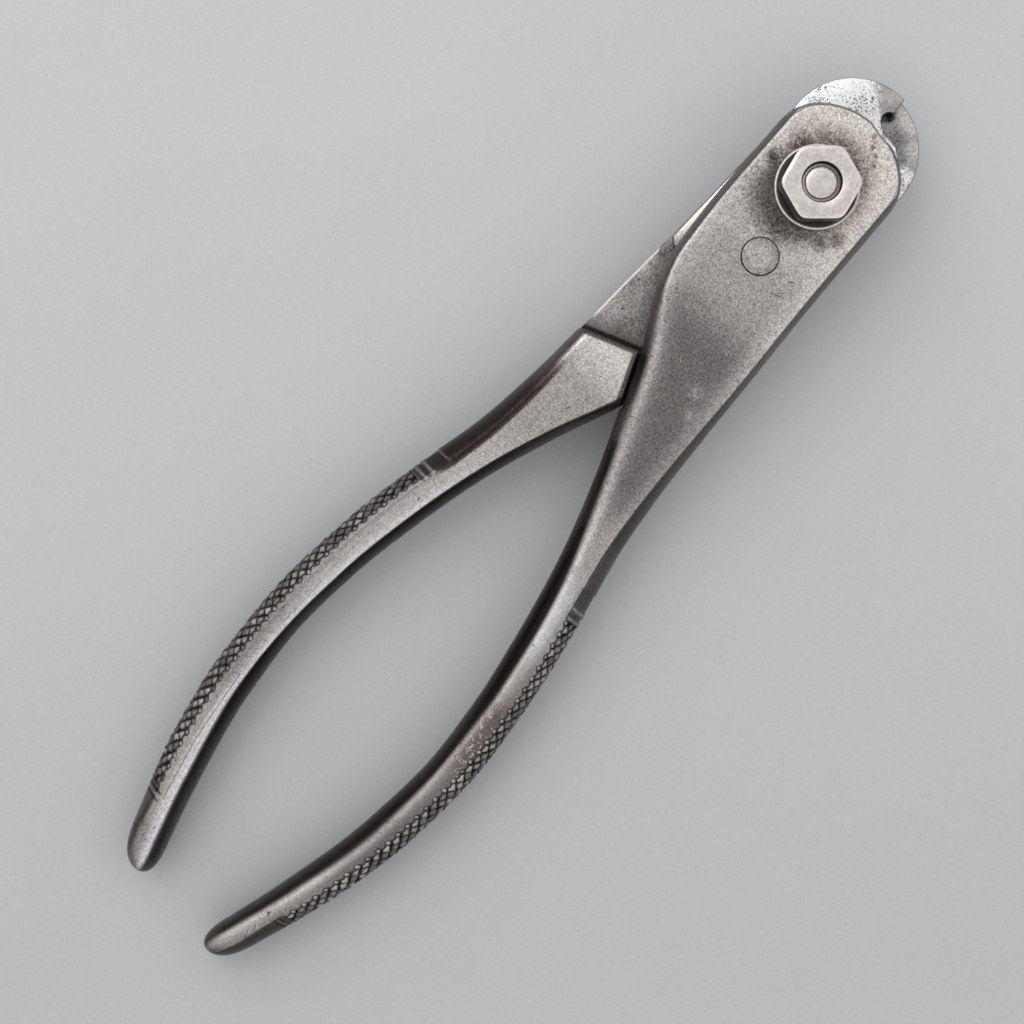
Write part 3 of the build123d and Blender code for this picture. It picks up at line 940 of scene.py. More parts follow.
def halfProfile(above, below, inset, crease, sink, tooth):
    # one side from the top flat's edge round to the bottom flat's: (inwards from the edge, height)
    shape = ringShape
    middle, tall, radius = sideArc(above, below, inset)
    length = 2 * radius * (atan2(tall, radius - inset) - crease / radius)
    run = min(cutShape["sinkRun"] + cutShape["toothLength"], length / 4)
    edge = [run * i / shape["edgeSteps"] for i in range(shape["edgeSteps"])]
    places = edge + list(np.linspace(run, length - run, shape["sideSteps"]))
    places += [length - place for place in reversed(edge)]
    side = []
    for place in places:
        angle = (length / 2 - place) / radius
        reach = radius - sink * sinkShare(place, length, tooth)
        side.append((radius - reach * cos(angle), middle + reach * sin(angle)))
    bends = []
    for corner, joint in ((above, side[0]), (-below, side[-1])):
        bend = []
        for i in range(shape["creaseSteps"]):
            t = i / shape["creaseSteps"]
            u = (1 - t * t) * inset + (1 - t) ** 2 * crease + t * t * joint[0]
            v = (1 - t * t) * corner + t * t * joint[1]
            bend.append((u, v))
        bends.append(bend)
    return bends[0] + side + bends[1][::-1]


def stationsOf(half):
    # real places along the handle, closer together at the marks and in the pattern
    shape = ringShape
    top, foot = half["knurl"]
    past, short = shape["fineMargins"]
    fine = [(half["cuts"][0][0] + past, top - short), (foot + short, half["cuts"][-1][1] - short)]
    end = handleShape["gripEnd"] + half["shortfall"]
    ys = []
    y = handleShape["headStart"]
    while y > end:
        ys.append(y)
        if any(low < y <= high for high, low in fine):
            y -= shape["fineStation"]
        elif foot < y < top:
            y -= shape["patternStation"]
        else:
            y -= shape["station"]
    ys.append(end)
    return ys


def between(a, b, count):
    # points that divide the straight line from a to b
    return [tuple(u + (v - u) * i / count for u, v in zip(a, b)) for i in range(1, count)]


def headOutline():
    # right-hand outline of the head's end, from the middle down to where the straight side starts
    shape = handleShape
    start, wide, tight = shape["headStart"], shape["endRadius"], shape["cornerRadius"]
    cornerX = shape["headHalf"] - tight
    rise = sqrt((wide - tight) ** 2 - cornerX ** 2)
    turn = atan2(rise, cornerX)
    outline = []
    for i in range(ringShape["endSteps"]):
        angle = pi / 2 - (pi / 2 - turn) * i / ringShape["endSteps"]
        place = (max(wide * cos(angle), 0), start - rise + wide * sin(angle))
        outline.append((*place, cos(angle), sin(angle)))
    for i in range(ringShape["cornerSteps"]):
        angle = turn - turn * i / ringShape["cornerSteps"]
        place = (cornerX + tight * cos(angle), start + tight * sin(angle))
        outline.append((*place, cos(angle), sin(angle)))
    return outline


def tipScale(past):
    # how wide and tall the rounded tip still is, at a share of its length past the grip's end
    full = handleShape["tipFullness"]
    return np.maximum((1 - past ** full) ** (1 / full), handleShape["tipLeast"])


def handleRings(half):
    # rings of points round the handle: the head's end, each station, then the tip
    shape = handleShape
    heights = curveThrough(shape["plateSide"]), curveThrough(shape["recessSide"])
    insets = curveThrough(half["innerInset"]), curveThrough(shape["outerInset"])
    creases = curveThrough(half["innerCrease"]), curveThrough(shape["outerCrease"])

    def sectionAt(law):
        return [[curve(law).item() for curve in pair] for pair in (heights, insets, creases)]

    def ringOf(left, right, inwards, section, sink=0, tooth=0):
        # left and right are the flat's edges, inwards the directions from them to the middle
        (top, foot), inset, crease = section
        near = halfProfile(top, foot, inset[0], crease[0], 0, 0)
        far = halfProfile(top, foot, inset[1], crease[1], sink, tooth)
        (leftX, leftY), (rightX, rightY) = inwards
        outer = [(right[0] + rightX * u, right[1] + rightY * u, v) for u, v in far]
        inner = [(left[0] + leftX * u, left[1] + leftY * u, v) for u, v in reversed(near)]
        under = between(outer[-1], inner[0], ringShape["flatSteps"])
        over = between(inner[-1], outer[0], ringShape["flatSteps"])
        return [(x, y, midHeight + z) for x, y, z in outer + under + inner + over]

    level = (1, 0), (-1, 0)
    rings = []
    for x, y, nx, ny in headOutline():
        rings.append(ringOf((-x, y), (x, y), ((nx, -ny), (-nx, -ny)), sectionAt(0)))
    for y in stationsOf(half):
        law = lawY(half, y).item()
        inner, outer = edgesAt(half, law)
        section = sectionAt(law)
        sink, tooth = cutDepth(half, y).item(), toothAt(half, y)
        rings.append(ringOf((inner, y), (outer, y), level, section, sink, tooth))
    for step in range(1, ringShape["tipSteps"] + 1):
        past = sin(pi / 2 * step / ringShape["tipSteps"])
        scale = tipScale(past).item()
        middle = (inner + outer) / 2 - shape["tipLean"] * shape["tipLength"] * past
        reach = (outer - inner) / 2 * scale
        y = shape["gripEnd"] + half["shortfall"] - shape["tipLength"] * past
        small = [[size * scale for size in pair] for pair in section]
        rings.append(ringOf((middle - reach, y), (middle + reach, y), level, small))
    return rings


recessShape = {
    "corner": (3.75, -37.63), "slope": -0.358, "stopWall": [(1.5, -43.1), (0.3, -46.0)],
    "reach": 30.0, "foot": -60.0, "edgeRounding": 0.85, "stopShare": 0.4, "blockHeight": 5.6,
    "roundingAngles": (20, 32, 45, 60, 75, 90),
}


def recessWalls():
    # the recess's wall and the stop below it, as a path in plan from the right
    shape = recessShape
    corner, reach = shape["corner"], shape["reach"]
    return [(reach, corner[1] + shape["slope"] * (reach - corner[0])), corner, *shape["stopWall"]]


def recessCutter():
    # room for the other half; the block's edge is rounded over where the wall meets it
    shape = recessShape
    walls = recessWalls()
    third = walls[-1]

    def shifted(offset):
        lines = []
        for i, (a, b) in enumerate(zip(walls, walls[1:])):
            run = Vector((b[0] - a[0], b[1] - a[1])).normalized()
            out = Vector((-run.y, run.x)) * (shape["stopShare"] if i else 1)  # into the block
            lines.append((Vector(a) + out * offset, run, out))
        points = [lines[0][0]]
        for (a, d, _), (b, e, _) in zip(lines, lines[1:]):
            cross = d.x * e.y - d.y * e.x
            t = ((b.x - a.x) * e.y - (b.y - a.y) * e.x) / cross
            points.append(a + d * t)
        points.append(Vector(third) + lines[-1][2] * offset)
        return [(p.x, p.y) for p in points]

    r = shape["edgeRounding"]
    block = midHeight - shape["blockHeight"]
    turn = radians(shape["roundingAngles"][0])
    # below the rounding the cutter runs on, in line with the rounding's first slope
    levels = [(block - 1.0, r * (1 - sin(turn)) + (1.0 + r * (1 - cos(turn))) / tan(turn))]
    for angle in shape["roundingAngles"]:
        turn = radians(angle)
        levels.append((block + r * (1 - cos(turn)), r * (1 - sin(turn))))
    levels.append((seatHeight, 0.0))
    rings = []
    for z, offset in levels:
        outline = [(-shape["reach"], shape["reach"]), (shape["reach"], shape["reach"])]
        outline += shifted(offset)
        outline += [(third[0], shape["foot"]), (-shape["reach"], shape["foot"])]
        rings.append([(x, y, z) for x, y in outline])
    return stackedRings("recessCutter", rings)


dowelShape = {
    "place": (0.6, -13.9), "radius": 3.0, "gap": 0.04, "edge": 0.14, "flare": 0.4, "steps": 96,
    "foot": 0.015, "sunk": 0.02, "dome": (0.01, 0.015), "dirtRing": (0.2, 0.05),
}
boltShape = {
    "radius": 3.175, "holeGap": 0.05, "headFlats": 11.3, "headRounding": 0.5, "turn": 11.8, "headHeight": 3.0,
    "headChamfer": [(0.0, 5.55), (0.25, 6.0), (0.5, 6.4)], "headReach": 9, "endSunk": 0.55, "steps": 96,
    # the shank's end: how far inwards and how far below the end, then radii over its dome
    "shankGap": 0.03,
    "endSteps": [
        (0.03, 0.6), (0.08, 0.46), (0.2, 0.38), (0.52, 0.36), (0.58, 0.44), (0.62, 0.44), (0.67, 0.3),
        (0.78, 0.2),
    ],
    "dome": [(1.9, 0.11), (1.3, 0.05), (0.7, 0.01), (0.0001, 0)],
    "dirtAndShade": [((2.54, 2.61), 0.7), ((2.62, 3.0), 0.35), ((3.05, 99), 0.85)],  # rings darkened on the end; the outermost, down the gap to the nut, is a painted shadow
}


def circleAt(x, y, z, radius, steps):
    turns = [2 * pi * i / steps for i in range(steps)]
    return [(x + radius * cos(turn), y + radius * sin(turn), z) for turn in turns]


def dowelHoleCutter():
    shape = dowelShape
    x, y = shape["place"]
    hole, edge, flare = shape["radius"] + shape["gap"], shape["edge"], shape["flare"]
    levels = [(0, hole), (plateTop - edge, hole), (plateTop + flare, hole + edge + flare)]
    return stackedRings("dowelHole", [circleAt(x, y, z, r, shape["steps"]) for z, r in levels])


def boltHoleCutter():
    hole = boltShape["radius"] + boltShape["holeGap"]
    return stackedRings("boltHole", [circleAt(0, 0, z, hole, boltShape["steps"]) for z in (0, 2 * plateTop)])


def withDifference(mesh, cutters, name):
    # mesh less the cutters, by the exact solver
    thing = placed(name, mesh)
    made = [placed("cutter", cutter) for cutter in cutters]
    for other in made:
        step = thing.modifiers.new("cut", "BOOLEAN")
        step.operation = "DIFFERENCE"
        step.solver = "EXACT"
        step.object = other
    bpy.context.view_layer.update()
    result = evaluatedMesh(thing, name)
    discard(thing, *made)
    return result


def relieved(points):
    # the small hollow in the head's end where the wire lies
    shape = handleShape
    dip = shape["reliefDepth"] * smoothStep(shape["reliefHalf"], 0, np.abs(points[:, 0] - shape["reliefX"]))
    points[:, 1] -= dip * smoothStep(*shape["reliefFrom"], points[:, 1])


def pointsOf(mesh):
    points = np.empty(len(mesh.vertices) * 3)
    mesh.vertices.foreach_get("co", points)
    return points.reshape(-1, 3)


def normalsOf(mesh):
    normals = np.empty(len(mesh.vertices) * 3, np.float32)
    mesh.vertex_normals.foreach_get("vector", normals)
    return normals.reshape(-1, 3).astype(float)


# spans are the x and y range of the grid
splitShape = {"pitch": 1.0, "largest": 1.5, "spans": [(-14, 15), (-60, 15)], "aside": 0.013}


def splitWideFaces(mesh):
    # cuts the widest faces along a grid, so that shading and colour have points to hold on to
    shape = splitShape
    work = bmesh.new()
    work.from_mesh(mesh)
    for axis, (place, stop) in enumerate(shape["spans"]):
        normal = Vector((axis == 0, axis == 1, 0))
        while place < stop:
            wide = [f for f in work.faces if f.calc_area() > shape["largest"]]
            edges = list({e for f in wide for e in f.edges})
            corners = list({v for f in wide for v in f.verts})
            around = edges + corners + wide
            spot = normal * (place + shape["aside"])
            bmesh.ops.bisect_plane(work, geom=around, plane_co=spot, plane_no=normal)
            place += shape["pitch"]
    work.to_mesh(mesh)
    work.free()


# pairs say where a mark is 0 and where it is full; lists run down the handle in (y, value)
markShape = {
    "rimWide": [(5.14, 2.4), (-30.0, 2.2), (-48.0, 2.0), (-62.0, 1.0), (-80.0, 0.8), (-151.0, 0.8)],
    "innerRim": [(5.14, 0.9), (-30.0, 0.6), (-45.0, 0.5), (-62.0, 0.65), (-80.0, 1.0), (-151.0, 1.0)],
    "outerRim": [(5.14, 1.0), (-30.0, 0.7), (-45.0, 0.4), (-58.0, 0.4), (-68.0, 0.0), (-151.0, 0.0)],
    "shade": [(5.14, 0.0), (-66.0, 0.0), (-80.0, 0.55), (-151.0, 0.55)],
    "endInset": 1.4, "endDrop": 4.66,
    # rims: the least width at the tip, where the sheen lessens, how level the face must be
    "rimLeast": 0.3, "sheenFrom": -70, "level": (0.45, 0.8), "rimGap": -34, "rimBack": (-60, -80),
    # sides: the turn from flat to side, which is painted dark as shade, where that painted shade is lessened,
    # and stretches with patina
    "turn": (0.1, -1), "easedAt": -44, "easedWide": 13, "shadeIn": (1.4, -0.1),
    "neck": ((-26, -40), (-70, -62)), "bands": ((-43, -54), (-77, -71)),
    "tip": (-142, -145), "headEnd": (6, 9),
    "neckPatina": 0.45, "bandPatina": 1.2, "headPatina": 0.4, "spread": 1.35, "spreadIn": (1.5, 0.6),
    # grips: ridges, teeth and the darkening between them
    "ridgeWide": 0.22, "ridgeOut": (-0.1, -0.6), "teethShare": 0.8, "toothEdge": (0.1, -0.3),
    "groundEdge": (-0.25, -0.7), "patternDirt": 0.94, "stripEdge": (0.6, 0.1), "deepCut": (0.05, 0.15),
    # recess: painted shade and shadow as (share, width), its darkening, and its bright brink, a painted
    # highlight
    "otherEdgeShade": (0.52, 2.4), "cornerShadowPlace": (11.6, -22.6), "corner": (0.25, 2.0), "lowFloor": 0.07,
    "lowRange": (-24, -34), "floorMost": 0.98, "wallShade": 0.92, "wallBand": (-0.4, 0.8), "blockBand": 1.2,
    "below": -30, "blockFoot": -62, "brinkIn": 0.15, "brinkRange": (-22.0, -38.0), "brinkFade": (3, 1.5),
}
farAway = 9  # stands for "not near" in the distances that the finish reads


def stretch(law, first, last):
    # 1 along a stretch of the handle, with soft ends
    return smoothStep(*first, law) * smoothStep(*last, law)


def fading(away, wide):
    # 1 at no distance, fading out over the width
    return np.exp(-(np.maximum(away, 0) / wide) ** 2)


def awayFromPath(points, path):
    # distance in plan from each point to a path of straight pieces
    nearest = np.full(len(points), 1e3)
    for a, b in zip(path, path[1:]):
        start, run = np.array(a), np.array(b) - np.array(a)
        share = np.clip((points[:, :2] - start) @ run / (run @ run), 0, 1)
        gap = points[:, :2] - start - share[:, None] * run
        nearest = np.minimum(nearest, np.hypot(gap[:, 0], gap[:, 1]))
    return nearest


def layOf(mesh, half):
    # where each point lies: along the section law, and inwards from both edges of the flat, the tip included
    shape = handleShape
    points, normals = pointsOf(mesh), normalsOf(mesh)
    x, y, z = points.T
    law = np.maximum(lawY(half, y), shape["gripEnd"])
    inner, outer = edgesAt(half, law)
    past = np.clip((shape["gripEnd"] + half["shortfall"] - y) / shape["tipLength"], 0, 1)
    scale = tipScale(past)
    middle = (inner + outer) / 2 - shape["tipLean"] * shape["tipLength"] * past
    reach = (outer - inner) / 2 * scale
    fromInner = x - middle + reach - curveThrough(half["innerInset"])(law) * scale
    fromOuter = middle + reach - curveThrough(shape["outerInset"])(law) * scale - x
    # round the head's end both are the distance from its arc
    start = shape["headStart"]
    fromEnd = shape["endRadius"] - markShape["endInset"] - np.hypot(x, y - start + markShape["endDrop"])
    fromInner = np.where(y > start, np.minimum(fromEnd, fromInner), fromInner)
    fromOuter = np.where(y > start, np.minimum(fromEnd, fromOuter), fromOuter)
    return SimpleNamespace(points=points, normals=normals, x=x, y=y, z=z, law=law, scale=scale,
                           fromInner=fromInner, fromOuter=fromOuter, outerHalf=fromOuter < fromInner)


def rimMarks(lay, half):
    # metal rubbed bright beside both edges of the flat; along the grips' inner edge the brightness is a
    # painted highlight
    shape = markShape
    wide = curveThrough(shape["rimWide"])(lay.law) * np.maximum(lay.scale, shape["rimLeast"])
    sheen = np.where(lay.law < shape["sheenFrom"], half["sheen"], 1)
    inner = curveThrough(shape["innerRim"])(lay.law) * sheen * fading(lay.fromInner, wide)
    outer = curveThrough(shape["outerRim"])(lay.law) * fading(lay.fromOuter, wide)
    rim = np.maximum(inner, outer) * smoothStep(*shape["level"], np.abs(lay.normals[:, 2]))
    kept = half["rimShare"] + (1 - half["rimShare"]) * smoothStep(*shape["rimBack"], lay.law)
    return rim * np.where(lay.law < shape["rimGap"], kept, 1)


def sideMarks(lay, half):
    # the flank, where the flat turns into the side and is painted dark as shade, and patina, how dark the
    # side is there
    shape, law, outerHalf = markShape, lay.law, lay.outerHalf
    inner = smoothStep(*shape["turn"], lay.fromInner / curveThrough(half["innerSoft"])(law))
    outer = smoothStep(*shape["turn"], lay.fromOuter / curveThrough(half["outerSoft"])(law))
    lessShade = half["flankEase"] * fading(np.abs(law - shape["easedAt"]), shape["easedWide"])
    shadedFlank = np.maximum(inner, outer) * (1 - lessShade * (1 - outerHalf))
    nearBand = half["cutDirt"] * outerHalf * stretch(law, *shape["bands"])
    spread = np.minimum(shape["spread"] * nearBand, 1) * smoothStep(*shape["spreadIn"], lay.fromOuter)
    patina = np.maximum.reduce([
        curveThrough(half["patina"])(law) * (1 - outerHalf),
        shape["neckPatina"] * outerHalf * stretch(law, *shape["neck"]),
        shape["bandPatina"] * nearBand,
        half["tipPatina"] * outerHalf * smoothStep(*shape["tip"], law),
        shape["headPatina"] * smoothStep(*shape["headEnd"], lay.y),
    ])
    return np.maximum(shadedFlank, half["bandSpread"] * spread), patina


def gripMarks(lay, half, rim, shadedFlank):
    # bright ridges at the bands, and darkening in the bands and between the pattern's teeth
    shape, y, fromOuter, outerHalf = markShape, lay.y, lay.fromOuter, lay.outerHalf
    side = smoothStep(*shape["ridgeOut"], fromOuter) * outerHalf
    for place, bright in half["ridges"]:
        ridge = bright * fading(np.abs(y - place), shape["ridgeWide"]) * side
        rim = np.maximum(rim, ridge)
        shadedFlank = shadedFlank * (1 - ridge)
    inPattern = (y < half["knurl"][0]) & (y > half["knurl"][1])
    root = -shape["teethShare"] * np.array([toothAt(half, place) for place in y])
    toothed = np.minimum(shadedFlank, smoothStep(*shape["toothEdge"], fromOuter - root))
    shadedFlank = np.where(inPattern & outerHalf, toothed, shadedFlank)
    ground = shape["patternDirt"] * smoothStep(*shape["groundEdge"], fromOuter - root) * outerHalf
    overStrip = smoothStep(*shape["stripEdge"], fromOuter) * outerHalf * half["cutDirt"]
    grime = np.where(inPattern, ground, overStrip * smoothStep(*shape["deepCut"], cutDepth(half, y)))
    return rim, shadedFlank, grime


def recessMarks(lay, grime):
    # the recess's floor: its painted shade and shadow, its distance from the wall and from its bright brink,
    # a painted highlight; the block's edge, for its painted shade
    shape, recess, x, y = markShape, recessShape, lay.x, lay.y
    corner, slope = recess["corner"], recess["slope"]
    floor = (np.abs(lay.z - seatHeight) < 0.02) & (lay.normals[:, 2] < -0.3)
    fromWall = (y - corner[1] - slope * (x - corner[0])) / sqrt(1 + slope ** 2)
    # painted shade beside the other half's plate edge, and darker towards the shoulder
    share, wide = shape["otherEdgeShade"]
    fromOther = x + curveThrough(handleShape["innerEdge"])(y)
    dark = share * fading(fromOther, wide) + shape["lowFloor"] * smoothStep(*shape["lowRange"], y)
    # a painted shadow in the corner below the blade's tail
    share, wide = shape["corner"]
    fromCorner = np.hypot(x - shape["cornerShadowPlace"][0], y - shape["cornerShadowPlace"][1])
    dark = np.maximum(dark, share * fading(fromCorner, wide))
    grime = np.where(floor, np.minimum(dark, shape["floorMost"]), grime)
    below = lay.law < shape["below"]
    middle, half = shape["wallBand"]
    nearWall = np.abs(fromWall - middle) < half
    # the wall's side painted dark as shade
    wallSide = (np.abs(lay.normals[:, 1]) > 0.6) & nearWall & below & ~floor
    blockFace = np.abs(lay.z - midHeight + recess["blockHeight"]) < shape["blockBand"]
    grime = np.maximum(grime, shape["wallShade"] * (wallSide & ~blockFace))
    edge = awayFromPath(lay.points, recessWalls())
    edge = np.minimum(edge, np.where(fromWall > 0.02, 0, farAway))
    high, low = shape["brinkRange"]
    run, rise = shape["brinkFade"]
    inset = lay.fromOuter + curveThrough(handleShape["outerInset"])(lay.law) - shape["brinkIn"]
    return floor, grime, {
        "wall": np.where(floor, np.maximum(fromWall, 0), farAway),
        "blockEdgeShade": np.where(blockFace & below & (lay.law > shape["blockFoot"]), edge, farAway),
        "brinkHighlight": np.where(floor & (y < high), inset + rise * smoothStep(low, low - run, y), farAway),
    }


def handleMarks(mesh, half):
    # what the steel's finish reads from the points: distances and shares from 0 to 1
    lay = layOf(mesh, half)
    rim = rimMarks(lay, half)
    shadedFlank, patina = sideMarks(lay, half)
    rim, shadedFlank, grime = gripMarks(lay, half, rim, shadedFlank)
    floor, grime, distances = recessMarks(lay, grime)
    shade = curveThrough(markShape["shade"])(lay.law) * smoothStep(*markShape["shadeIn"], lay.fromOuter)
    for name, values in distances.items():
        setAttribute(mesh, name, values)
    for name, values in (("rim", rim), ("shade", shade), ("shadedFlank", shadedFlank)):
        setAttribute(mesh, name, np.where(floor, 0, values))
    setAttribute(mesh, "patina", patina)
    setAttribute(mesh, "grime", grime)


def turnedOver(mesh):
    # the rear half is the front half turned over about the tool's long axis
    lift = Matrix.Translation((0, 0, midHeight))
    mesh.transform(lift @ Matrix.Rotation(pi, 4, "Y") @ lift.inverted())


def makeHandle(side, material):
    half = halves[side]
    mesh = stackedRings(side + "Forging", handleRings(half))
    points = pointsOf(mesh)
    relieved(points)
    mesh.vertices.foreach_set("co", points.ravel())
    mesh = withDifference(mesh, [recessCutter(), boltHoleCutter(), dowelHoleCutter()], side + "Forging")
    splitWideFaces(mesh)
    handleMarks(mesh, half)
    mesh.polygons.foreach_set("use_smooth", [True] * len(mesh.polygons))
    mesh.set_sharp_from_angle(angle=radians(ringShape["sharpAngle"]))
    if side == "rear":
        turnedOver(mesh)
    finished(side + "Forging", mesh, half["body"], material, side + "_handle")
    print("handle", side, len(mesh.vertices), "points")


# Pressed pattern on the grips: one bump, repeated over a strip that follows the outer side

knurlShape = {
    "pitch": 2.06, "rows": 11, "arcLength": 11.1, "height": 0.40, "lowest": 0.72, "tilt": 0.17,
    "seed": 7, "sideSeeds": 10, "chanceWear": 0.8, "stripWear": 0.5, "stripRows": 2.5,
    # one bump: rings of (reach, height, roundness) with eight points each, then its peak
    "rings": [(1.0, -0.12, 0.0), (0.80, 0.40, 0.1), (0.52, 0.80, 0.2), (0.24, 1.0, 0.6)],
    "points": 8, "roundReach": 0.85, "peak": 1.02,
}


def bumpMesh():
    # one small blunt pyramid, a unit wide and a unit high, with its height kept as crown
    shape = knurlShape
    count = shape["points"]
    points, crown, faces = [], [], []
    for reach, height, roundness in shape["rings"]:
        for i in range(count):
            angle = 2 * pi / count * i
            corner = reach / (abs(cos(angle)) + abs(sin(angle)))
            distance = corner * (1 - roundness) + reach * shape["roundReach"] * roundness
            points.append((distance * cos(angle), distance * sin(angle), height))
            crown.append(max(height, 0))
    points.append((0, 0, shape["peak"]))
    crown.append(1)
    last = (len(shape["rings"]) - 1) * count
    for foot in range(0, last, count):
        for i in range(count):
            j = (i + 1) % count
            faces.append((foot + i, foot + j, foot + count + j, foot + count + i))
    for i in range(count):
        faces.append((last + i, last + (i + 1) % count, last + count))
    mesh = meshOf("knurlBump", points, faces, smooth=False)
    setAttribute(mesh, "crown", crown)
    return mesh


def gripStrip(half):
    # the pattern's ground: quads of half a pitch by one row, laid on the sunk side of the handle
    shape = handleShape
    top, foot = half["knurl"]
    columns, rows = columnsOf(half), knurlShape["rows"]
    curves = [curveThrough(shape[name]) for name in ("plateSide", "recessSide", "outerInset")]
    points = []
    for i in range(columns + 1):
        y = top + (foot - top) * i / columns
        law = lawY(half, y).item()
        _, outer = edgesAt(half, law)
        above, below, inset = [curve(law).item() for curve in curves]
        middle, tall, radius = sideArc(above, below, inset)
        swing = atan2(tall, radius - inset)
        reach = radius - cutShape["knurlDepth"]
        for j in range(rows + 1):
            angle = swing * (1 - 2 * j / rows)
            points.append((outer - radius + reach * cos(angle), y, midHeight + middle + reach * sin(angle)))
    faces = []
    for i in range(columns):
        for j in range(rows):
            a = i * (rows + 1) + j
            faces.append((a, a + rows + 1, a + rows + 2, a + 1))
    return meshOf("gripStrip", points, faces), columns, rows


def knurlTree(bump, material):
    shape = knurlShape
    tree = bpy.data.node_groups.new("gripKnurl", "GeometryNodeTree")
    face = tree.interface
    face.new_socket(name="Geometry", in_out="INPUT", socket_type="NodeSocketGeometry")
    inputs = {
        "Rows": ("NodeSocketInt", shape["rows"]),
        "Half Pitch": ("NodeSocketFloat", shape["pitch"] / 2),
        "Row Height": ("NodeSocketFloat", 1.0),
        "Bump Height": ("NodeSocketFloat", shape["height"]),
        "Tilt": ("NodeSocketFloat", shape["tilt"]),
        "Seed": ("NodeSocketInt", shape["seed"]),
    }
    for name, (kind, value) in inputs.items():
        face.new_socket(name=name, in_out="INPUT", socket_type=kind).default_value = value
    face.new_socket(name="Geometry", in_out="OUTPUT", socket_type="NodeSocketGeometry")
    source = addNode(tree, "NodeGroupInput").outputs
    # every second quad of the strip, like the dark squares of a chessboard
    index = addNode(tree, "GeometryNodeInputIndex").outputs["Index"]
    column = mathOf(tree, "FLOOR", mathOf(tree, "DIVIDE", index, source["Rows"]))
    row = minus(tree, index, times(tree, column, source["Rows"]))
    parity = mathOf(tree, "MODULO", plus(tree, column, row), 2.0)
    even = {0: parity, 1: 0.5}
    chosen = addNode(tree, "FunctionNodeCompare", even, operation="LESS_THAN", data_type="FLOAT")
    kept = addNode(tree, "GeometryNodeCaptureAttribute", {"Geometry": source["Geometry"]}, domain="FACE")
    kept.capture_items.new("VECTOR", "Lay")
    kept.capture_items.new("FLOAT", "Row")
    tree.links.new(addNode(tree, "GeometryNodeInputNormal").outputs["Normal"], kept.inputs["Lay"])
    tree.links.new(row, kept.inputs["Row"])
    picked = {"Mesh": kept.outputs["Geometry"], "Selection": chosen.outputs["Result"]}
    spots = addNode(tree, "GeometryNodeMeshToPoints", picked, mode="FACES")
    stand = addNode(tree, "FunctionNodeAlignRotationToVector", {"Vector": kept.outputs["Lay"]}, axis="Z")
    turned = {"Rotation": stand.outputs["Rotation"], "Vector": (0, 1, 0)}
    lie = addNode(tree, "FunctionNodeAlignRotationToVector", turned, axis="Y", pivot_axis="Z")
    # each bump leans and stands out a little differently
    lean = addNode(tree, "FunctionNodeRandomValue", {"Seed": source["Seed"]}, data_type="FLOAT_VECTOR")
    lean.inputs[0].default_value = (-1, -1, -1)
    lean.inputs[1].default_value = (1, 1, 1)
    leaning = {0: lean.outputs[0], "Scale": source["Tilt"]}
    angle = addNode(tree, "ShaderNodeVectorMath", leaning, operation="SCALE")
    leant = addNode(tree, "FunctionNodeEulerToRotation", {0: angle.outputs["Vector"]})
    both = {"Rotation": lie.outputs["Rotation"], "Rotate By": leant.outputs["Rotation"]}
    laid = addNode(tree, "FunctionNodeRotateRotation", both, rotation_space="LOCAL")
    later = {"Seed": plus(tree, source["Seed"], 1.0)}
    vary = addNode(tree, "FunctionNodeRandomValue", later, data_type="FLOAT")
    vary.inputs[2].default_value = shape["lowest"]
    vary.inputs[3].default_value = 1.0
    height = times(tree, source["Bump Height"], vary.outputs[1])
    sides = {"X": source["Row Height"], "Y": source["Half Pitch"], "Z": height}
    size = addNode(tree, "ShaderNodeCombineXYZ", sides)
    bumpInfo = addNode(tree, "GeometryNodeObjectInfo", {"Object": bump})
    copies = {
        "Points": spots.outputs["Points"], "Instance": bumpInfo.outputs["Geometry"],
        "Rotation": laid.outputs["Rotation"], "Scale": size.outputs["Vector"],
    }
    many = addNode(tree, "GeometryNodeInstanceOnPoints", copies)
    # wear: chance, and more of it beside the flat strip
    later = {"Seed": plus(tree, source["Seed"], 2.0)}
    chance = addNode(tree, "FunctionNodeRandomValue", later, data_type="FLOAT")
    beside = times(tree, eased(tree, kept.outputs["Row"], shape["stripRows"], 0.0), shape["stripWear"])
    worn = plus(tree, times(tree, chance.outputs[1], shape["chanceWear"]), beside)
    stored = {"Geometry": many.outputs["Instances"], "Name": "wear", "Value": worn}
    marked = addNode(tree, "GeometryNodeStoreNamedAttribute", stored, data_type="FLOAT", domain="INSTANCE")
    real = addNode(tree, "GeometryNodeRealizeInstances", {"Geometry": marked.outputs["Geometry"]})
    coated = {"Geometry": real.outputs["Geometry"], "Material": material}
    dressed = addNode(tree, "GeometryNodeSetMaterial", coated)
    addNode(tree, "NodeGroupOutput", {"Geometry": dressed.outputs["Geometry"]})
    return tree


def makeKnurl(side, material):
    half = halves[side]
    mesh, columns, rows = gripStrip(half)
    strip = placed("gripStrip", mesh)
    bump = placed("knurlBump", bumpMesh())
    tree = knurlTree(bump, material)
    step = strip.modifiers.new("knurl", "NODES")
    step.node_group = tree
    sockets = {item.name: item.identifier for item in tree.interface.items_tree if item.in_out == "INPUT"}
    top, foot = half["knurl"]
    step[sockets["Rows"]] = rows
    step[sockets["Half Pitch"]] = (top - foot) / columns
    step[sockets["Row Height"]] = knurlShape["arcLength"] / rows
    step[sockets["Seed"]] = knurlShape["seed"] + knurlShape["sideSeeds"] * (side == "rear")
    bpy.context.view_layer.update()
    made = evaluatedMesh(strip, side + "Knurl")
    discard(strip, bump)
    if side == "rear":
        turnedOver(made)
    finished(side + "Knurl", made, half["body"], material, None)
    print("knurl", side, len(made.polygons), "faces")


# Blades: flat discs with a tail, pinned under each plate

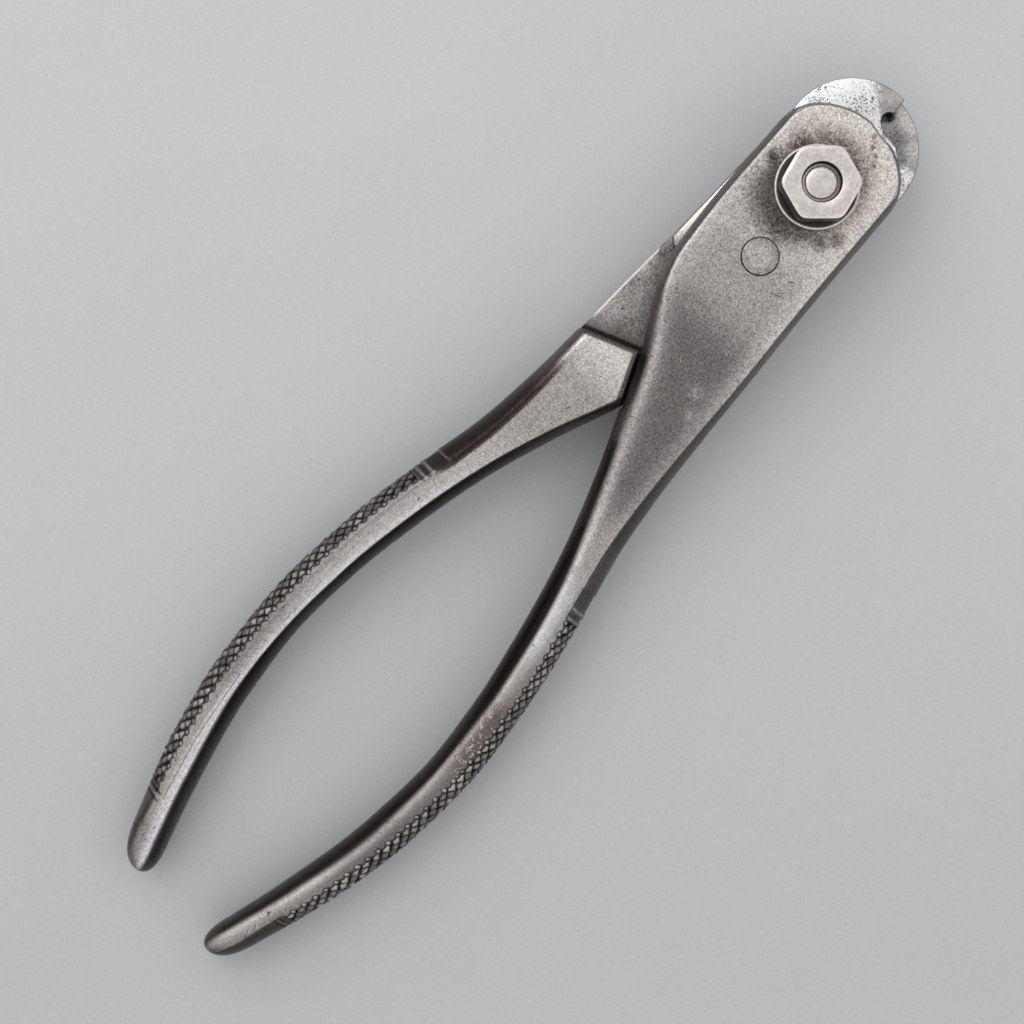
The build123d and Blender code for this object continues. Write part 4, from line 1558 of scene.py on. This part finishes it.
bladeShape = {
    "endRadius": 11.345, "endCentre": (0.1, 9.2), "edgeX": 1.35, "edgeLean": 0.15,
    "notchRadius": 1.25, "notchCentre": (1.5, 16.5), "notchFoot": 40,
    "lip": [(1.3, 14.95), (2.2, 14.6), (5.2, 14.0), (6.3, 13.2)],
    "shoulder": (9.5, 9.0), "rightTop": (11.35, 3.0), "rightTail": (12.05, -19.8),
    "leftTail": (-10.6, -19.8), "tailY": -20.75, "tailCorner": 1.1,
    "thickness": 2.4, "slack": 0.015, "edge": 0.12, "arcStep": 3, "notchStep": 8,
    "bevelAngle": 40, "sharpAngle": 30, "sideShade": 0.8,
}


def arcPoints(centre, radius, start, stop, step):
    # points along an arc, angles in degrees, about one for each step
    count = max(2, round(abs(stop - start) / step))
    turns = [radians(start + (stop - start) * i / count) for i in range(count + 1)]
    return [(centre[0] + radius * cos(turn), centre[1] + radius * sin(turn)) for turn in turns]


def arcThrough(a, b, c, step):
    # points along the arc from a over b to c
    (ax, ay), (bx, by), (cx, cy) = a, b, c
    d = 2 * (ax * (by - cy) + bx * (cy - ay) + cx * (ay - by))
    aa, bb, cc = ax ** 2 + ay ** 2, bx ** 2 + by ** 2, cx ** 2 + cy ** 2
    ux = (aa * (by - cy) + bb * (cy - ay) + cc * (ay - by)) / d
    uy = (aa * (cx - bx) + bb * (ax - cx) + cc * (bx - ax)) / d
    angles = [degrees(atan2(y - uy, x - ux)) for x, y in (a, b, c)]
    turn = (angles[2] - angles[0]) % 360
    if (angles[1] - angles[0]) % 360 > turn:
        turn -= 360
    return arcPoints((ux, uy), hypot(ax - ux, ay - uy), angles[0], angles[0] + turn, step)


def bladeOutline():
    shape = bladeShape
    cx, cy = shape["endCentre"]
    nx, ny = shape["notchCentre"]
    radius, notch = shape["endRadius"], shape["notchRadius"]
    topX = shape["edgeX"] - shape["edgeLean"]
    topAngle = degrees(atan2(sqrt(radius ** 2 - (topX - cx) ** 2), topX - cx))
    outline = arcPoints((cx, cy), radius, 180, topAngle, shape["arcStep"])
    rise = sqrt(notch ** 2 - (shape["edgeX"] - nx) ** 2)
    startAngle = degrees(atan2(rise, shape["edgeX"] - nx))
    outline += arcPoints((nx, ny), notch, startAngle, 270 - shape["notchFoot"], shape["notchStep"])
    outline += shape["lip"]
    outline += arcThrough(shape["lip"][-1], shape["shoulder"], shape["rightTop"], shape["arcStep"])[1:]
    outline += [shape["rightTail"], (shape["rightTail"][0] - shape["tailCorner"], shape["tailY"])]
    outline += [(shape["leftTail"][0] + shape["tailCorner"], shape["tailY"]), shape["leftTail"]]
    return outline


def makeBlade(side, material):
    shape = bladeShape
    outline = bladeOutline()
    levels = (midHeight + shape["slack"], seatHeight)
    mesh = stackedRings(side + "Blade", [[(x, y, z) for x, y in outline] for z in levels])
    mesh = withDifference(mesh, [boltHoleCutter()], side + "Blade")
    thing = placed(side + "Blade", mesh)
    step = thing.modifiers.new("edges", "BEVEL")
    step.width = shape["edge"]
    step.segments = 2
    step.limit_method = "ANGLE"
    step.angle_limit = radians(shape["bevelAngle"])
    bpy.context.view_layer.update()
    made = evaluatedMesh(thing, side + "Blade")
    discard(thing)
    made.polygons.foreach_set("use_smooth", [True] * len(made.polygons))
    made.set_sharp_from_angle(angle=radians(shape["sharpAngle"]))
    # the blade's bevels and sides painted dark: a painted shade outline
    sides = [shape["sideShade"] * (abs(face.normal.z) < 0.95) for face in made.polygons]
    setAttribute(made, "grime", sides, "FACE")
    if side == "rear":
        turnedOver(made)
    finished(side + "Blade", made, halves[side]["body"], material, side + "_blade")
    print("blade", side, len(made.vertices), "points")


# Round parts: dowels, washer, nut and bolt

roundSharpAngle = 35


def closingFaces(count, steps):
    # the quads that join the last of the rings to the first
    last = (count - 1) * steps
    return [(last + j, j, (j + 1) % steps, last + (j + 1) % steps) for j in range(steps)]


def turnedPart(name, profile, steps, x=0, y=0):
    # closed ring of (radius, height) points turned about an upright line; open at a zero radius
    rings = [circleAt(x, y, z, max(r, 1e-6), steps) for r, z in profile]
    points = [p for ring in rings for p in ring]
    faces = ringFaces(len(rings), steps)
    if profile[0][0] > 1e-6:
        faces += closingFaces(len(rings), steps)
    mesh = cleaned(meshOf(name, points, faces))
    mesh.set_sharp_from_angle(angle=radians(roundSharpAngle))
    return mesh


def makeDowel(side, material):
    shape = dowelShape
    x, y = shape["place"]
    r, e = shape["radius"], shape["edge"]
    low, top = midHeight + shape["foot"], plateTop - shape["sunk"]
    raised, crown = shape["dome"]
    profile = [(0, low), (r, low), (r, top - e), (r - e * 0.3, top - e * 0.3), (r - e, top)]
    profile += [(r * 0.5, top + raised), (0, top + crown)]
    mesh = turnedPart(side + "Dowel", profile, shape["steps"], x, y)
    points = pointsOf(mesh)
    away = np.hypot(points[:, 0] - x, points[:, 1] - y)
    for name in ("rim", "shade", "shadedFlank", "patina"):
        setAttribute(mesh, name, np.zeros(len(points)))
    for name in ("brinkHighlight", "wall", "blockEdgeShade"):
        setAttribute(mesh, name, np.full(len(points), farAway))
    start, full = shape["dirtRing"]
    setAttribute(mesh, "grime", smoothStep(r - start, r - full, away))
    if side == "rear":
        turnedOver(mesh)
    finished(side + "Dowel", mesh, halves[side]["body"], material, side + "_dowel")
    print("dowel", side, len(points), "points")


washerShape = {
    "radius": 6.78, "bore": 3.275, "low": 0.03, "thickness": 1.0, "steps": 128,
    "footEdge": 0.15, "edge": 0.24, "edgeAngles": (22, 45, 68, 90), "flatSteps": (0.08, 0.22),
    "dirtAndShade": (0.1, 0.82), "dirtRing": (0.02, 0.18),
}
nutShape = {
    "flats": 11.3, "cornerRounding": 0.9, "chamferFrom": 5.8, "chamferSlope": 0.58, "height": 4.99,
    "sinkRadius": 3.21, "faceRing": 4.4, "edge": 0.4, "sharpness": 0.12, "steps": 144,
    "sideShade": 0.9, "boreShadow": 0.8,
}


def makeWasher(material):
    shape = washerShape
    low = plateTop + shape["low"]
    top = low + shape["thickness"]
    r, e, foot = shape["radius"], shape["edge"], shape["footEdge"]
    profile = [(shape["bore"], low), (r - foot, low), (r, low + foot), (r, top - e)]
    for angle in shape["edgeAngles"]:
        profile.append((r - e * (1 - cos(radians(angle))), top - e * (1 - sin(radians(angle)))))
    profile += [(r - e - step, top) for step in shape["flatSteps"]] + [(shape["bore"], top)]
    mesh = turnedPart("washer", profile, shape["steps"])
    points = pointsOf(mesh)
    away = np.hypot(points[:, 0], points[:, 1])
    least, more = shape["dirtAndShade"]
    start, full = shape["dirtRing"]
    setAttribute(mesh, "grime", least + more * smoothStep(r - e - start, r - e - full, away))
    finished("washer", mesh, "rear_half", material, "nut_washer")
    print("washer", len(points), "points")


def hexReach(angle, flats, rounding):
    # distance from the middle to a hexagon's side, its corners rounded
    fold = (angle + pi / 6) % (pi / 3) - pi / 6
    flat = flats / 2 / cos(fold)
    corner = flats / 2 / cos(pi / 6) - rounding * (1 / cos(pi / 6) - 1) * 2
    sharp = nutShape["sharpness"]
    top = max(flat, corner)
    return -sharp * np.log(np.exp(-(flat - top) / sharp) + np.exp(-(corner - top) / sharp)) + top


def hexRing(z, most):
    # one level of the bolt's head: a hexagon turned down to a round of radius most
    shape = boltShape
    ring = []
    for i in range(shape["steps"]):
        angle = 2 * pi * i / shape["steps"]
        side = hexReach(angle - radians(shape["turn"]), shape["headFlats"], shape["headRounding"])
        reach = min(side, most)
        ring.append((reach * cos(angle), reach * sin(angle), z))
    return ring


def nutSide(angle, low, top):
    # one upright line of the nut's outside, from the top flat's edge down to the foot
    shape = nutShape
    reach = hexReach(angle - radians(boltShape["turn"]), shape["flats"], shape["cornerRounding"])
    face = min(reach - shape["edge"], shape["chamferFrom"])
    drop = max(0.2, (reach - shape["chamferFrom"]) * shape["chamferSlope"])
    half = (face + reach) / 2
    upper = [
        (face - 0.25, top), (face, top - 0.015), (half, top - drop * 0.42),
        (reach - 0.04, top - drop * 0.85), (reach, top - drop - 0.14),
    ]
    lower = [
        (reach, (low + top) / 2), (reach, low + drop + 0.25), (reach - 0.05, low + drop * 0.9),
        (half, low + drop * 0.4), (face, low),
    ]
    return [(r * cos(angle), r * sin(angle), z) for r, z in upper + lower]


def makeNut(material):
    shape = nutShape
    low = plateTop + washerShape["low"] + washerShape["thickness"]
    top = low + shape["height"]
    bore, sink, steps = boltShape["radius"], shape["sinkRadius"], shape["steps"]
    inside = [
        (bore, low), (bore, top - (sink - bore) * 1.2), (sink - 0.03, top - 0.04), (sink + 0.05, top),
        (shape["faceRing"], top),
    ]
    rings = [circleAt(0, 0, z, r, steps) for r, z in inside]
    rings += zip(*[nutSide(2 * pi * i / steps, low, top) for i in range(steps)])
    points = [p for ring in rings for p in ring]
    faces = ringFaces(len(rings), steps) + closingFaces(len(rings), steps)
    mesh = cleaned(meshOf("nut", points, faces))
    mesh.set_sharp_from_angle(angle=radians(roundSharpAngle))
    spots, normals = pointsOf(mesh), normalsOf(mesh)
    away = np.hypot(spots[:, 0], spots[:, 1])
    # sides turned away from the sky painted dark as shade, and a painted shadow round the countersink
    dirtAndShade = shape["sideShade"] * smoothStep(0.62, 0.2, normals[:, 2]) * smoothStep(4, 5, away)
    boreShadow = shape["boreShadow"] * smoothStep(sink + 0.03, sink - 0.02, away)
    setAttribute(mesh, "grime", np.maximum(dirtAndShade, boreShadow))
    finished("nut", mesh, "rear_half", material, "pivot_nut")
    print("nut", len(spots), "points")


def makeBolt(material):
    shape = boltShape
    nutTop = plateTop + washerShape["low"] + washerShape["thickness"] + nutShape["height"]
    end = nutTop - shape["endSunk"]
    r, headHeight = shape["radius"], shape["headHeight"]
    head = [hexRing(z, most) for z, most in shape["headChamfer"] + [(headHeight, shape["headReach"])]]
    shank = [(r - shape["shankGap"], headHeight)]
    shank += [(r - inwards, end - below) for inwards, below in shape["endSteps"]]
    shank += [(radius, end - below) for radius, below in shape["dome"]]
    rings = head + [circleAt(0, 0, z, radius, shape["steps"]) for radius, z in shank]
    mesh = stackedRings("bolt", rings)
    mesh.set_sharp_from_angle(angle=radians(roundSharpAngle))
    spots = pointsOf(mesh)
    away = np.hypot(spots[:, 0], spots[:, 1])
    seen = spots[:, 2] > nutTop - 2
    dirtAndShade = np.zeros(len(spots))
    for (near, far), amount in shape["dirtAndShade"]:
        dirtAndShade = np.maximum(dirtAndShade, amount * ((away > near) & (away < far)))
    setAttribute(mesh, "grime", seen * dirtAndShade)
    finished("bolt", mesh, "rear_half", material, "pivot_bolt")
    print("bolt", len(spots), "points")


# Put together

makeCamera()
makeFloor()
makeSky()
makeLamp()
print("table, light and camera")

forgingSteel = {
    "front": forgedSteel("frontForging", frontForgingLook),
    "rear": forgedSteel("rearForging", rearForgingLook),
}
patternSteel = knurlSteel()
bladeSteel = {
    "front": brightSteel("frontBladeSteel", frontBladeLook),
    "rear": brightSteel("rearBladeSteel", rearBladeLook),
}
dowelSteel = forgedSteel("dowelFace", dowelLook)
boltSteel = brightSteel("boltSteel", boltLook)
print("steels")

for side in halves:
    makeHandle(side, forgingSteel[side])
    makeKnurl(side, patternSteel)
    makeBlade(side, bladeSteel[side])
    makeDowel(side, dowelSteel)
makeWasher(boltSteel)
makeNut(boltSteel)
makeBolt(boltSteel)
